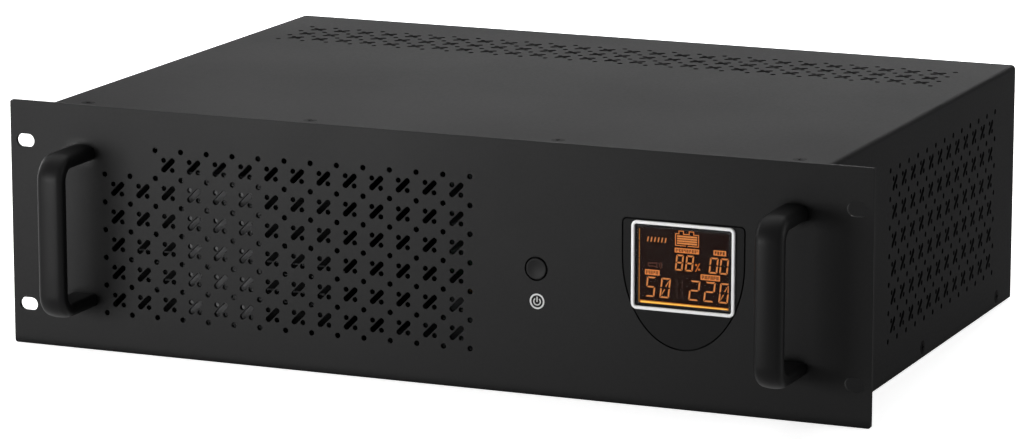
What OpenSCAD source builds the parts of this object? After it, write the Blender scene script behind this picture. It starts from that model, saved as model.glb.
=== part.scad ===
// Rack-mount uninterruptible power supply, 19-inch panel, three units high.
// Lengths in millimetres. X runs along the panel, the front faces -Y, +Z is up.
// Every place is measured from the front plane of the panel and from the underside.

/* [Front panel] */
// Width of the 19-inch panel over both ears
panel_w = 482.6; // [470:0.1:600]
// Height of the panel
panel_h = 132; // [125:0.1:170]
// Thickness of the panel
panel_t = 2; // [1.5:0.1:3]
// Radius of the panel's corners
panel_corner_r = 1.5; // [0.5:0.1:4]
// Width of each ear beside the body
ear_w = 23; // [20:0.1:30]

/* [Rack slots] */
// Distance from a slot's centre to the panel's end
slot_inset = 8.75; // [7:0.05:12]
// Height between the two slots of an ear
slot_dz = 88.9; // [40:0.1:100]
// Height of a slot
slot_w = 7.2; // [6:0.1:8]
// Length of a slot
slot_l = 10.7; // [9:0.1:13]

/* [Body] */
// Depth from the panel's face to the rear of the cover
body_depth = 311; // [311:1:450]
// How far the cover's top lies below the panel's top
body_drop = 0.3; // [0.2:0.1:2]
// Sheet thickness of the cover and the rear panel
sheet_t = 1.2; // [1:0.1:2]
// Sheet thickness of the chassis
floor_t = 1.5; // [1.2:0.1:2.5]
// Outer radius of the cover's bends
bend_r = 2.5; // [2:0.1:4]

/* [Vents] */
// Distance between vent cells
vent_pitch = 15; // [13:0.1:16]
// Length of a slanted vent slot
vent_slot_l = 10; // [7:0.1:11]
// Width of a slanted vent slot
vent_slot_w = 3; // [2:0.1:3.2]
// Diameter of the two dots beside each slot
vent_dot_d = 2.7; // [1.5:0.1:3]
// Diameter of the dots at the cell corners
vent_corner_d = 2.9; // [1.5:0.1:3.2]
// Cells across the front grille
front_cols = 14; // [4:1:14]
// Cells up the front grille
front_rows = 6; // [3:1:6]
// Distance from the panel's left end to the grille's first dots
grille_inset = 55.9; // [54:0.1:60]
// Height of the lowest dots above the underside
grille_z = 20.9; // [20:0.1:24]
// Cells along the top vents
top_cols = 26; // [4:1:26]
// Cells across the top vents
top_rows = 3; // [1:1:3]
// Distance from the rear of the cover to the middle of the top vents
top_vent_inset = 58; // [40:0.5:80]
// Cells along each side vent
side_cols = 12; // [3:1:12]
// Cells up each side vent
side_rows = 6; // [3:1:6]
// Distance from the rear of the cover to the middle of the side vents
side_vent_inset = 126.5; // [110:0.5:150]

/* [Handles] */
// Distance from the panel's end to the middle of a handle
handle_inset = 42.1; // [40:0.1:46]
// Height of a handle
handle_h = 88.2; // [75:0.1:110]
// How far a handle stands off the panel
handle_reach = 38; // [30:0.5:50]
// Width of the grip
handle_w = 15.2; // [12:0.1:18]
// Thickness of the grip and the legs
handle_t = 8; // [7:0.1:10]
// Outer radius of a handle's bends
handle_bend_r = 14; // [9:0.5:18]
// Thread diameter of the handle screws
handle_screw_d = 4; // [3:0.5:5]

/* [Display] */
// Distance from the panel's right end to the middle of the display
bezel_inset = 100.1; // [98:0.1:110]
// Width of the bezel
bezel_w = 64.8; // [60:0.1:70]
// Height of the bezel's straight sides
bezel_side_h = 19.3; // [10:0.1:30]
// Height of the bezel's round lower part
bezel_arc_h = 45.8; // [35:0.1:50]
// Distance from the bezel's top to the panel's top
bezel_drop = 35.7; // [30:0.1:40]
// Gap round the bezel in the panel
bezel_gap = 0.7; // [0.2:0.05:1]
// Outer width of the raised trim
trim_w = 55.6; // [50:0.1:56]
// Outer height of the raised trim
trim_h = 45.8; // [40:0.1:46]
// Width of the trim's band
trim_band = 2; // [1.5:0.1:2.5]
// How far the trim stands off the bezel
trim_rise = 1.2; // [0.8:0.1:2]

/* [Power button] */
// Distance from the panel's right end to the button
button_inset = 180; // [170:0.5:190]
// Height of the button's centre
button_z = 66; // [50:0.5:80]
// Diameter of the button
button_d = 11; // [9:0.1:12]
// Diameter of the hole in the panel
button_hole_d = 12.6; // [12.6:0.1:15]
// Travel of the button
button_travel = 1.5; // [1:0.1:1.5]

/* [Batteries] */
// Width of a battery
battery_w = 65; // [50:0.5:72]
// Length of a battery
battery_l = 151; // [120:0.5:155]
// Height of a battery's case
battery_h = 94; // [80:0.5:100]
// Distance from the panel's face to the batteries
battery_y = 18; // [17:0.5:25]
// Width of the strap over the batteries
strap_w = 46; // [30:1:60]

/* [Transformer] */
// Width of the laminated core
core_w = 130; // [110:1:150]
// Height of the laminated core
core_h = 108; // [96:1:114]
// Stack depth of the core
core_d = 60; // [45:1:70]
// Distance from the panel's face to the core
core_y = 74; // [70:1:100]

/* [Fan] */
// Side of the square fan frame
fan_side = 80; // [70:1:92]
// Depth of the fan
fan_t = 25; // [25:1:32]
// Distance between the fan's fixing holes
fan_hole_pitch = 71.5; // [62:0.5:82.5]
// Diameter of the fan's air duct
fan_bore_d = 76; // [66:1:77]
// Diameter of the fan's shaft
fan_shaft_d = 4; // [3:0.5:6]

/* [Rear sockets] */
// Distance between outlet centres
outlet_pitch = 48; // [47:0.5:50]
// Diameter of an outlet's recess
outlet_recess_d = 39; // [36:0.5:40]
// Depth of an outlet's recess
outlet_recess_t = 17.5; // [12:0.5:20]
// Outer diameter of an outlet's barrel
outlet_barrel_d = 43.6; // [43.6:0.1:46]
// How far the breaker's button stands off the rear of the cover
breaker_reach = 9; // [9:0.5:12]
// Diameter of the breaker's button
breaker_button_d = 7.4; // [5:0.1:8]

/* [Hidden] */
$fn = 48;

// Clearances: between seated pieces, across a screw hole, round a running fit
seat_gap = 0.3;
hole_gap = 0.4;
run_gap = 0.05;
// Overlap that joins the shapes of one piece
weld = 0.5;

// Sheet colours
panel_colour = [0.18, 0.18, 0.19];
cover_colour = [0.2, 0.2, 0.21];
plated = [0.7, 0.71, 0.72];
black = [0.07, 0.07, 0.08];
board_green = [0.1, 0.32, 0.18];

// Overall frame: the origin is under the middle of the whole object
overall_depth = handle_reach + body_depth + breaker_reach;
panel_y = handle_reach - overall_depth / 2;
body_w = panel_w - 2 * ear_w;
body_h = panel_h - body_drop;
inner_x = body_w / 2 - sheet_t - seat_gap;
wall_x = inner_x - floor_t;
rear_out = body_depth - sheet_t;
rear_in = rear_out - sheet_t;
panel_gap = 0.5;
cover_y = panel_t + panel_gap;
cover_foot_z = 0.5;
lid_z = body_h - sheet_t;

// Chassis flanges and the rail that ties the panel to the cover
side_flange_h = 14;
front_flange_h = 18;
rear_flange_h = 14;
rail_drop = 16;
rail_depth = 17;
rail_end_gap = 1;
stud_d = 4;
stud_l = 9;
stud_inset = 36;
stud_dx = 70;
stud_x = [stud_inset - panel_w / 2, -stud_dx, stud_dx, panel_w / 2 - stud_inset];
stud_z = [10, lid_z - 9];
nut_across = 8;
nut_h = 3.2;

// Countersunk cover screws and pan-head screws
flat_head_d = 7;
flat_neck_d = 4.6;
screw_d = 3.4;
screw_l = 7;
pan_head_d = 6.6;
pan_head_h = 2.2;
cross_l = 3.6;
cross_w = 0.8;
cross_t = 0.7;
top_screw_dx = 69.5;
top_screw_x = [handle_inset - panel_w / 2, -top_screw_dx, top_screw_dx, panel_w / 2 - handle_inset];
top_screw_y = 9;
side_screw_z = 6;
side_screw_y = [21.5, 153, body_depth - 26.5];
lip_h = 12;
side_vent_lift = 0.8;
lip_screw_x = [-170, 0, 170];
rear_screw_x = [-190, -62, 62, 190];
rear_screw_z = 8;
rear_top_gap = 1;

// Handles
handle_x = panel_w / 2 - handle_inset;
handle_lift = 0.5;
handle_z = panel_h / 2 + handle_lift;
handle_front_r = 4.8;
handle_rear_r = 2.4;
handle_hole_dz = handle_h / 2 - handle_t / 2;
handle_screw_l = 13;
handle_screw_gap = 1;

// Display stack, from the face inwards
bezel_x = panel_w / 2 - bezel_inset;
bezel_top_z = panel_h - bezel_drop;
bezel_arc_z = bezel_top_z - bezel_side_h;
bezel_corner_r = 2;
bezel_face_y = 0;
bezel_flange = 3;
bezel_flange_t = 2;
trim_drop = 0.3;
trim_z = bezel_top_z - trim_drop - trim_h / 2;
trim_corner_r = 2.6;
window_w = trim_w - 2 * trim_band - 2 * seat_gap;
window_h = trim_h - 2 * trim_band - 2 * seat_gap;
window_r = 1.4;
window_drop = 0.6;
window_face_y = bezel_face_y - trim_rise + window_drop;
window_t = 1.2;
glass_y = window_face_y + window_t;
lcd_back_y = panel_t + bezel_flange_t;
lcd_back_grow = 6;
board_t = 1.6;
display_board_y = 14;
display_board_w = 140;
display_board_h = 72;
display_board_dx = 25;
display_board_x = bezel_x - display_board_dx;
display_board_z = 66;
spacer_inset = 5;
spacer_across = 5.5;
spacer_hole_d = 3;

// Power button stack
button_x = panel_w / 2 - button_inset;
button_face_y = -0.4;
guide_face_y = panel_t;
guide_rear_y = 6.5;
guide_flange = 2.2;
guide_flange_d = button_hole_d + 2 * guide_flange;
guide_flange_t = 1.5;
collar_w = 1;
collar_d = button_d + 2 * collar_w;
collar_t = 1.2;
collar_y = guide_rear_y + seat_gap;
collar_rear_y = collar_y + collar_t;
overtravel = 0.7;
switch_face_y = collar_rear_y + button_travel + overtravel;
switch_side = 10;
plunger_d = 3.4;
plunger_depth = 1.6;
plunger_end_y = switch_face_y + plunger_depth;
button_rim = 0.8;
dish_d = button_d - 2 * button_rim;
dish_t = 0.5;
dish_r = (pow(dish_d / 2, 2) + pow(dish_t, 2)) / (2 * dish_t);

// Batteries stand side by side against the left of the case
battery_pair_gap = 1;
battery_inset = 24.8;
battery_x = -wall_x + battery_inset + battery_w + battery_pair_gap / 2;
battery_dx = (battery_w + battery_pair_gap) / 2;
battery_lid_h = 9;
battery_lid_inset = 0.7;
battery_r = 2.5;
battery_top_z = floor_t + battery_h;
tab_w = 6.3;
tab_t = 0.8;
tab_h = 8;
tab_foot = 7;
tab_inset_y = 14;
tab_inset_x = 11;
tab_y = battery_y + battery_l - tab_inset_y;
tab_dx = battery_w / 2 - tab_inset_x;
strap_t = 1.5;
strap_foot = 11;
strap_bar_gap = 1;
strap_bar_w = 2 * (battery_dx - tab_dx) - tab_w - 2 * strap_bar_gap;
lead_d = 4;

// Transformer stands against the right of the case
core_inset = 30;
core_x = wall_x - core_inset - core_w / 2;
core_leg_w = core_w / 3;
core_yoke = core_w / 6;
coil_slack = 1.5;
coil_build = core_yoke - coil_slack;
coil_gap = 0.4;
coil_r = 6;
core_foot = 16;
core_screw_inset = 12;
core_bracket_drop = 3;
core_bracket_h = core_yoke - core_bracket_drop;
core_bracket_t = 2;

// Main board lies behind the batteries, in front of the fan
main_w = 146;
main_d = 82;
main_z = floor_t + 10;
main_inset = 12;
main_fan_gap = 5;
main_x = main_inset + main_w / 2 - wall_x;
main_y = rear_in - fan_t - main_fan_gap - main_d;
main_top_z = main_z + board_t;
spacer_dx = main_w / 2 - spacer_inset;
spacer_dy = main_d / 2 - spacer_inset;
sink_l = 66;
sink_h = 56;
sink_base_t = 4;
sink_fin_l = 16;
sink_fin_t = 1.6;
sink_fins = 8;
sink_dx = 34;
transistors_per_sink = 4;

// Fan
fan_inset = 76;
fan_x = fan_inset - wall_x;
fan_z = panel_h / 2;
fan_hub_d = 32;
fan_base_t = 4;
fan_strut_w = 4;
fan_strut_t = 3;
fan_blades = 7;
fan_pitch = 38;
fan_chord = 20;
fan_blade_t = 1.6;
fan_tip_gap = 1.2;
fan_rear_gap = 2.4;
fan_cap_t = 1;
rotor_gap = 0.6;
fan_strut_angle = 20;
fan_r = 4;
guard_wire_d = 1.6;
guard_rings = 4;
guard_ring_step = 8.4;
guard_loop_r = 3.4;
fan_screw_d = 4;
fan_screw_l = 16;
fan_screw_head_d = 8;

// Rear sockets
outlet_inset = 27;
outlet_x0 = wall_x - outlet_inset;
outlet_z = panel_h / 2;
outlet_flange = 46;
outlet_flange_t = 3;
outlet_flange_r = 4;
outlet_depth = 34;
outlet_pin_dx = 9.5;
sleeve_d = 6;
sleeve_bore_d = 4.9;
sleeve_l = 14;
clip_w = 6;
clip_t = 2;
clip_l = 11;
inlet_x = -36;
inlet_z = 42;
inlet_flange = [33, 26];
inlet_flange_t = 2.4;
inlet_body = [27.6, 20];
inlet_depth = 20;
inlet_cavity = [24.4, 16.4];
inlet_cavity_t = 18;
inlet_chamfer = 4.5;
inlet_pin_dx = 7;
inlet_pin_dz = 4;
inlet_pin = [2, 4];
inlet_pin_recess = 5;
inlet_tail = 8;
breaker_x = -36;
breaker_z = 92;
breaker_neck_d = 11.6;
breaker_neck_l = 5;
breaker_body_size = [15, 32, 34];
breaker_nut_across = 15;
breaker_nut_t = 3;
breaker_cap_d = 9.6;
breaker_cap_gap = 0.4;
jack_x = 0;
usb_z = 100;
usb_size = [12, 10.8];
usb_cavity = [8.6, 7.8];
usb_cavity_t = 9;
usb_tongue = [5.4, 3];
network_z = 72;
network_size = [29, 14.6];
network_cavity = [11.8, 7.4];
network_cavity_t = 13;
network_latch = [6, 3];
network_dx = 7;
jack_lip = 0.6;
jack_depth = 16;
comms_board_w = 34;
comms_board_h = 62;
comms_board_z = 84;
comms_spacer_dz = 27;
comms_back_y = rear_out + jack_lip - jack_depth;

// Frame helpers

// Moves a shape from the panel's own plane to the origin of the whole object.
module framed() { translate([0, panel_y, 0]) children(); }

// Plate parallel to the front, its front face at y.
module upright(y, t) { translate([0, y + t, 0]) rotate([90, 0, 0]) linear_extrude(t) children(); }

// Plate parallel to a side, its lower face at x, drawn in Y and Z.
module sideways(x, t) { translate([x, 0, 0]) rotate([90, 0, 90]) linear_extrude(t) children(); }

// Level plate, its underside at z.
module level(z, t) { translate([0, 0, z]) linear_extrude(t) children(); }

// Turns a shape's own +Z to the rear, to the right or to the left.
module facing_rear() { rotate([-90, 0, 0]) children(); }
module facing_right() { rotate([0, 90, 0]) children(); }
module facing_left() { rotate([0, -90, 0]) children(); }

// A rectangle drawn between two corners.
module rect(x0, y0, x1, y1) { translate([x0, y0]) square([x1 - x0, y1 - y0]); }

// A centred rectangle with round corners.
module rounded(w, h, r) {
    square([w - 2 * r, h], center = true);
    square([w, h - 2 * r], center = true);
    for (sx = [-1, 1], sy = [-1, 1]) translate([sx * (w / 2 - r), sy * (h / 2 - r)]) circle(r);
}

// A slot with round ends, centred.
module stadium(l, w) {
    square([l - w, w], center = true);
    for (s = [-1, 1]) translate([s * (l - w) / 2, 0]) circle(d = w);
}

// Fastener shapes

// The cross in a screw's head, cut downwards from z = 0.
module cross_recess() {
    for (a = [0, 90]) rotate(a) translate([-cross_l / 2, -cross_w / 2, -cross_t])
        cube([cross_l, cross_w, cross_t + weld]);
}

// Pan-head screw whose head stands on z = 0.
module pan_screw(d, l, head_d = pan_head_d) {
    rim = pan_head_h * 0.55;
    difference() {
        union() {
            translate([0, 0, -l]) cylinder(d = d, h = l + weld);
            cylinder(d = head_d, h = rim);
            translate([0, 0, rim]) cylinder(d1 = head_d, d2 = head_d * 0.66, h = pan_head_h - rim);
        }
        translate([0, 0, pan_head_h]) cross_recess();
    }
}

// Countersunk screw whose head is flush with z = 0.
module flat_screw() {
    difference() {
        union() {
            translate([0, 0, -sheet_t]) cylinder(d1 = flat_neck_d, d2 = flat_head_d, h = sheet_t);
            translate([0, 0, -screw_l]) cylinder(d = screw_d, h = screw_l - sheet_t + weld);
        }
        cross_recess();
    }
}

// The hole that a countersunk screw sits in, through a sheet.
module flat_hole() {
    translate([0, 0, -sheet_t - weld]) cylinder(d = flat_neck_d + hole_gap, h = sheet_t + 2 * weld);
    translate([0, 0, -sheet_t])
        cylinder(d1 = flat_neck_d + hole_gap, d2 = flat_head_d + hole_gap, h = sheet_t);
    cylinder(d = flat_head_d + hole_gap, h = weld);
}

// A hexagonal spacer or nut along +Z, with its bore.
module hex_tube(across, bore_d, h) {
    difference() {
        cylinder(d = across / cos(30), h = h, $fn = 6);
        translate([0, 0, -weld]) cylinder(d = bore_d, h = h + 2 * weld);
    }
}

// Vents

// One cell: a slanted slot and a dot on either side of it.
module vent_cell() {
    dot_offset = vent_pitch / 6;
    rotate(45) stadium(vent_slot_l, vent_slot_w);
    for (s = [-1, 1]) translate([-s * dot_offset, s * dot_offset]) circle(d = vent_dot_d);
}

// A field of cells with a dot at every corner. The first cells of the top row can be left plain.
module vent_field(cols, rows, plain = 0) {
    for (i = [0 : cols - 1], j = [0 : rows - 1])
        if (j < rows - 1 || i >= plain)
            translate([(i + 0.5) * vent_pitch, (j + 0.5) * vent_pitch]) vent_cell();
    for (i = [0 : cols], j = [0 : rows])
        if (j < rows || i >= plain)
            translate([i * vent_pitch, j * vent_pitch]) circle(d = vent_corner_d);
}

// The same field, centred.
module vent_field_centred(cols, rows) {
    translate([-cols / 2 * vent_pitch, -rows / 2 * vent_pitch]) vent_field(cols, rows);
}

// Casing

// Outline of the display bezel, let out by grow: straight sides over half an ellipse.
module bezel_outline(grow = 0) {
    half = bezel_w / 2 + grow;
    arc = bezel_arc_h + grow;
    r = bezel_corner_r + grow;
    top = bezel_top_z + grow;
    step = 4;
    corner = [for (a = [0 : 15 : 90]) [half - r + r * cos(a), top - r + r * sin(a)]];
    lower = [for (a = [180 : step : 360]) [half * cos(a), bezel_arc_z + arc * sin(a)]];
    left = [for (a = [0 : 15 : 90]) [r - half - r * sin(a), top - r + r * cos(a)]];
    translate([bezel_x, 0]) polygon(concat(corner, left, lower));
}

// Places the four rack slots.
module rack_slots() {
    for (sx = [-1, 1], sz = [-1, 1])
        translate([sx * (panel_w / 2 - slot_inset), panel_h / 2 + sz * slot_dz / 2])
            stadium(slot_l, slot_w);
}

// Places something at the four handle screws, in the panel's plane.
module at_handle_holes() {
    for (sx = [-1, 1], sz = [-1, 1])
        translate([sx * handle_x, handle_z + sz * handle_hole_dz]) children();
}

module front_panel() {
    plain_cells = 2;
    color(panel_colour) framed() {
        upright(0, panel_t) difference() {
            translate([0, panel_h / 2]) rounded(panel_w, panel_h, panel_corner_r);
            rack_slots();
            translate([grille_inset - panel_w / 2, grille_z])
                vent_field(front_cols, front_rows, plain_cells);
            bezel_outline(bezel_gap);
            translate([button_x, button_z]) circle(d = button_hole_d);
            at_handle_holes() circle(d = handle_screw_d + hole_gap);
        }
        for (x = stud_x, z = stud_z) translate([x, panel_t - weld, z]) facing_rear()
            cylinder(d = stud_d, h = stud_l + weld);
    }
}

module chassis_base() {
    color(plated) framed() difference() {
        union() {
            level(0, floor_t) rect(-inner_x, panel_t, inner_x, rear_in);
            upright(panel_t, floor_t) rect(-inner_x, 0, inner_x, front_flange_h);
            upright(rear_in - floor_t, floor_t) rect(-inner_x, 0, inner_x, rear_flange_h);
            for (x = [-inner_x, wall_x]) sideways(x, floor_t) rect(panel_t, 0, rear_in, side_flange_h);
        }
        for (x = stud_x) translate([x, 0, stud_z[0]]) facing_rear()
            cylinder(d = stud_d + hole_gap, h = stud_l);
        for (y = side_screw_y) translate([-body_w / 2, y, side_screw_z]) facing_right()
            cylinder(d = screw_d + hole_gap, h = body_w);
        for (x = rear_screw_x) translate([x, rear_in - stud_l, rear_screw_z]) facing_rear()
            cylinder(d = screw_d + hole_gap, h = stud_l + weld);
        floor_screw_places() translate([0, 0, -weld])
            cylinder(d = screw_d + hole_gap, h = floor_t + 2 * weld);
    }
}

// Places something on the floor at every screw that holds the batteries and the transformer.
module floor_screw_places() {
    strap_screw_places() children();
    core_screw_places() children();
}

module top_rail() {
    rail_x = inner_x - rail_end_gap;
    color(plated) framed() difference() {
        union() {
            upright(panel_t, floor_t) rect(-rail_x, lid_z - rail_drop, rail_x, lid_z);
            level(lid_z - floor_t, floor_t) rect(-rail_x, panel_t, rail_x, panel_t + rail_depth);
        }
        for (x = stud_x) translate([x, 0, stud_z[1]]) facing_rear()
            cylinder(d = stud_d + hole_gap, h = stud_l);
        for (x = top_screw_x) translate([x, top_screw_y, lid_z - screw_l])
            cylinder(d = screw_d + hole_gap, h = screw_l + weld);
    }
}

module panel_nuts() {
    color(plated) framed() for (x = stud_x, z = stud_z)
        translate([x, panel_t + floor_t, z]) facing_rear()
            hex_tube(nut_across, stud_d + hole_gap, nut_h);
}

module top_cover() {
    flat_x = body_w / 2 - bend_r;
    side_y = body_depth - side_vent_inset;
    side_z = grille_z + front_rows / 2 * vent_pitch + side_vent_lift;
    color(cover_colour) framed() difference() {
        union() {
            level(lid_z, sheet_t) difference() {
                rect(-flat_x, cover_y, flat_x, body_depth);
                translate([0, body_depth - top_vent_inset]) vent_field_centred(top_cols, top_rows);
            }
            for (x = [-body_w / 2, body_w / 2 - sheet_t]) sideways(x, sheet_t) difference() {
                rect(cover_y, cover_foot_z, body_depth, body_h - bend_r);
                translate([side_y, side_z]) vent_field_centred(side_cols, side_rows);
            }
            upright(cover_y, body_depth - cover_y) for (s = [0, 1]) mirror([s, 0])
                translate([flat_x, body_h - bend_r]) intersection() {
                    difference() {
                        circle(bend_r);
                        circle(bend_r - sheet_t);
                    }
                    square(bend_r);
                }
            upright(rear_out, sheet_t) rect(-flat_x, body_h - lip_h, flat_x, lid_z + sheet_t / 2);
        }
        at_top_screws() flat_hole();
        at_side_screws() flat_hole();
        for (x = lip_screw_x) translate([x, rear_out - weld, body_h - lip_h / 2]) facing_rear()
            cylinder(d = screw_d + hole_gap, h = sheet_t + 2 * weld);
    }
}

// Places something at the cover's top screws, +Z outwards.
module at_top_screws() {
    for (x = top_screw_x) translate([x, top_screw_y, body_h]) children();
}

// Places something at the cover's side screws, +Z outwards.
module at_side_screws() {
    for (y = side_screw_y) {
        translate([body_w / 2, y, side_screw_z]) facing_right() children();
        translate([-body_w / 2, y, side_screw_z]) facing_left() children();
    }
}

module cover_screws() {
    color(black) framed() {
        at_top_screws() flat_screw();
        at_side_screws() flat_screw();
    }
}

// Places something at each outlet, in the plane of the rear panel.
module at_outlets() {
    for (i = [0 : 3]) translate([outlet_x0 - i * outlet_pitch, outlet_z]) children();
}

// Places something at the fan's four fixing holes, in the plane of the rear panel.
module at_fan_holes() {
    for (sx = [-1, 1], sz = [-1, 1])
        translate([fan_x + sx * fan_hole_pitch / 2, fan_z + sz * fan_hole_pitch / 2]) children();
}

// Places something at the comms board's two spacers, in the plane of the rear panel.
module at_comms_spacers() {
    for (s = [-1, 1]) translate([jack_x, comms_board_z + s * comms_spacer_dz]) children();
}

module rear_panel() {
    color(cover_colour) framed() upright(rear_in, sheet_t) difference() {
        rect(-inner_x, seat_gap, inner_x, lid_z - rear_top_gap);
        translate([fan_x, fan_z]) circle(d = fan_bore_d);
        at_fan_holes() circle(d = fan_screw_d + hole_gap);
        at_outlets() circle(d = outlet_barrel_d + 2 * seat_gap);
        translate([inlet_x, inlet_z])
            square([inlet_body[0] + 2 * seat_gap, inlet_body[1] + 2 * seat_gap], center = true);
        translate([breaker_x, breaker_z]) circle(d = breaker_neck_d + hole_gap);
        translate([jack_x, usb_z])
            square([usb_size[0] + 2 * seat_gap, usb_size[1] + 2 * seat_gap], center = true);
        translate([jack_x, network_z])
            square([network_size[0] + 2 * seat_gap, network_size[1] + 2 * seat_gap], center = true);
        at_comms_spacers() circle(d = screw_d + hole_gap);
        for (x = rear_screw_x) translate([x, rear_screw_z]) circle(d = screw_d + hole_gap);
        for (x = lip_screw_x) translate([x, body_h - lip_h / 2]) circle(d = screw_d + hole_gap);
    }
}

module rear_screws() {
    color(black) framed() {
        for (x = rear_screw_x) translate([x, rear_out, rear_screw_z]) facing_rear()
            pan_screw(screw_d, screw_l);
        for (x = lip_screw_x) translate([x, body_depth, body_h - lip_h / 2]) facing_rear()
            pan_screw(screw_d, screw_l);
        for (s = [-1, 1]) translate([jack_x, rear_out, comms_board_z + s * comms_spacer_dz]) facing_rear()
            pan_screw(spacer_hole_d - hole_gap, screw_l);
    }
}

// Handles

// Section of a handle: X is outwards, Y is across the grip.
module handle_section() {
    fx = handle_t / 2 - handle_front_r;
    rx = handle_rear_r - handle_t / 2;
    fy = handle_w / 2 - handle_front_r;
    ry = handle_w / 2 - handle_rear_r;
    intersection() {
        union() {
            rect(-handle_w, -handle_w / 2, fx, handle_w / 2);
            rect(fx - weld, -fy, handle_t / 2, fy);
            for (s = [-1, 1]) translate([fx, s * fy]) circle(handle_front_r);
        }
        union() {
            rect(rx, -handle_w / 2, handle_w, handle_w / 2);
            rect(-handle_t / 2, -ry, rx + weld, ry);
            for (s = [-1, 1]) translate([rx, s * ry]) circle(handle_rear_r);
        }
    }
}

// Upper half of a handle: leg, bend and half the grip, above z = 0 with its foot on y = 0.
module handle_half() {
    bend_y = handle_bend_r - handle_reach;
    bend_z = handle_h / 2 - handle_bend_r;
    centre_r = handle_bend_r - handle_t / 2;
    translate([0, bend_y, handle_h / 2 - handle_t / 2]) rotate([-90, 0, 0]) rotate([0, 0, -90])
        linear_extrude(-bend_y) handle_section();
    translate([0, bend_y, bend_z]) rotate([90, 0, 90]) rotate([0, 0, 90])
        rotate_extrude(angle = 90) translate([centre_r, 0]) handle_section();
    translate([0, handle_t / 2 - handle_reach, 0]) rotate([0, 0, -90])
        linear_extrude(bend_z) handle_section();
}

module handle(x) {
    framed() translate([x, 0, handle_z]) difference() {
        for (s = [0, 1]) mirror([0, 0, s]) handle_half();
        for (s = [-1, 1]) translate([0, -handle_screw_l, s * handle_hole_dz]) facing_rear()
            cylinder(d = handle_screw_d + hole_gap / 2, h = handle_screw_l + weld);
    }
}

module left_handle() { color(black) handle(-handle_x); }

module right_handle() { color(black) handle(handle_x); }

module handle_screws() {
    grip = handle_screw_l - handle_screw_gap + panel_t;
    color(plated) framed() for (sx = [-1, 1], sz = [-1, 1])
        translate([sx * handle_x, panel_t, handle_z + sz * handle_hole_dz]) facing_rear()
            pan_screw(handle_screw_d, grip, 2 * handle_screw_d);
}

// Display

module display_bezel() {
    color(panel_colour) framed() difference() {
        union() {
            upright(bezel_face_y, panel_t - bezel_face_y) bezel_outline();
            upright(panel_t, bezel_flange_t) bezel_outline(bezel_flange);
        }
        upright(-weld, lcd_back_y + 2 * weld) translate([bezel_x, trim_z])
            rounded(window_w + 2 * seat_gap, window_h + 2 * seat_gap, window_r + seat_gap);
    }
}

module display_frame() {
    color("white") framed() upright(bezel_face_y - trim_rise, trim_rise) translate([bezel_x, trim_z])
        difference() {
            rounded(trim_w, trim_h, trim_corner_r);
            rounded(trim_w - 2 * trim_band, trim_h - 2 * trim_band, window_r + seat_gap);
        }
}

module display_window() {
    color([0.5, 0.5, 0.5, 0.4]) framed() upright(window_face_y, window_t) translate([bezel_x, trim_z])
        rounded(window_w, window_h, window_r);
}

module lcd_module() {
    color([0.2, 0.12, 0.08]) framed() translate([bezel_x, 0, trim_z]) {
        upright(glass_y, lcd_back_y - glass_y + weld) rounded(window_w, window_h, window_r);
        upright(lcd_back_y, display_board_y - lcd_back_y)
            square([window_w + lcd_back_grow, window_h + lcd_back_grow], center = true);
    }
}

// Places something at the display board's four spacers, in the panel's plane.
module at_display_spacers() {
    dx = display_board_w / 2 - spacer_inset;
    dz = display_board_h / 2 - spacer_inset;
    for (sx = [-1, 1], sz = [-1, 1])
        translate([display_board_x + sx * dx, display_board_z + sz * dz]) children();
}

module display_board() {
    color(board_green) framed() upright(display_board_y, board_t) difference() {
        translate([display_board_x, display_board_z])
            square([display_board_w, display_board_h], center = true);
        at_display_spacers() circle(d = spacer_hole_d);
    }
}

module display_spacers() {
    color("gold") framed() upright(panel_t, display_board_y - panel_t) at_display_spacers() difference() {
        circle(d = spacer_across / cos(30), $fn = 6);
        circle(d = spacer_hole_d);
    }
}

module display_board_screws() {
    dx = display_board_w / 2 - spacer_inset;
    dz = display_board_h / 2 - spacer_inset;
    color(plated) framed() for (sx = [-1, 1], sz = [-1, 1])
        translate([display_board_x + sx * dx, display_board_y + board_t, display_board_z + sz * dz])
            facing_rear() pan_screw(spacer_hole_d - hole_gap, screw_l, spacer_across);
}

// Power button

// Puts something on the button's axis, +Z to the rear from depth y.
module on_button(y) { translate([button_x, y, button_z]) facing_rear() children(); }

module power_button() {
    color(black) framed() difference() {
        union() {
            on_button(button_face_y) cylinder(d = button_d, h = collar_rear_y - button_face_y);
            on_button(collar_y) cylinder(d = collar_d, h = collar_t);
        }
        on_button(button_face_y + dish_t - dish_r) sphere(dish_r, $fn = 96);
    }
}

module button_guide() {
    color(black) framed() difference() {
        union() {
            on_button(guide_face_y)
                cylinder(d = button_hole_d - hole_gap / 2, h = guide_rear_y - guide_face_y);
            on_button(guide_face_y) cylinder(d = guide_flange_d, h = guide_flange_t);
        }
        on_button(guide_face_y - weld)
            cylinder(d = button_d + 2 * run_gap, h = guide_rear_y - guide_face_y + 2 * weld);
    }
}

module power_switch() {
    bore_l = plunger_end_y + button_travel + seat_gap - switch_face_y;
    color(black) framed() difference() {
        upright(switch_face_y, display_board_y - switch_face_y) translate([button_x, button_z])
            square(switch_side, center = true);
        on_button(switch_face_y - weld) cylinder(d = plunger_d + 2 * run_gap, h = bore_l + weld);
    }
}

module switch_plunger() {
    color("ivory") framed() on_button(collar_rear_y)
        cylinder(d = plunger_d, h = plunger_end_y - collar_rear_y);
}

// Batteries

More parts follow.
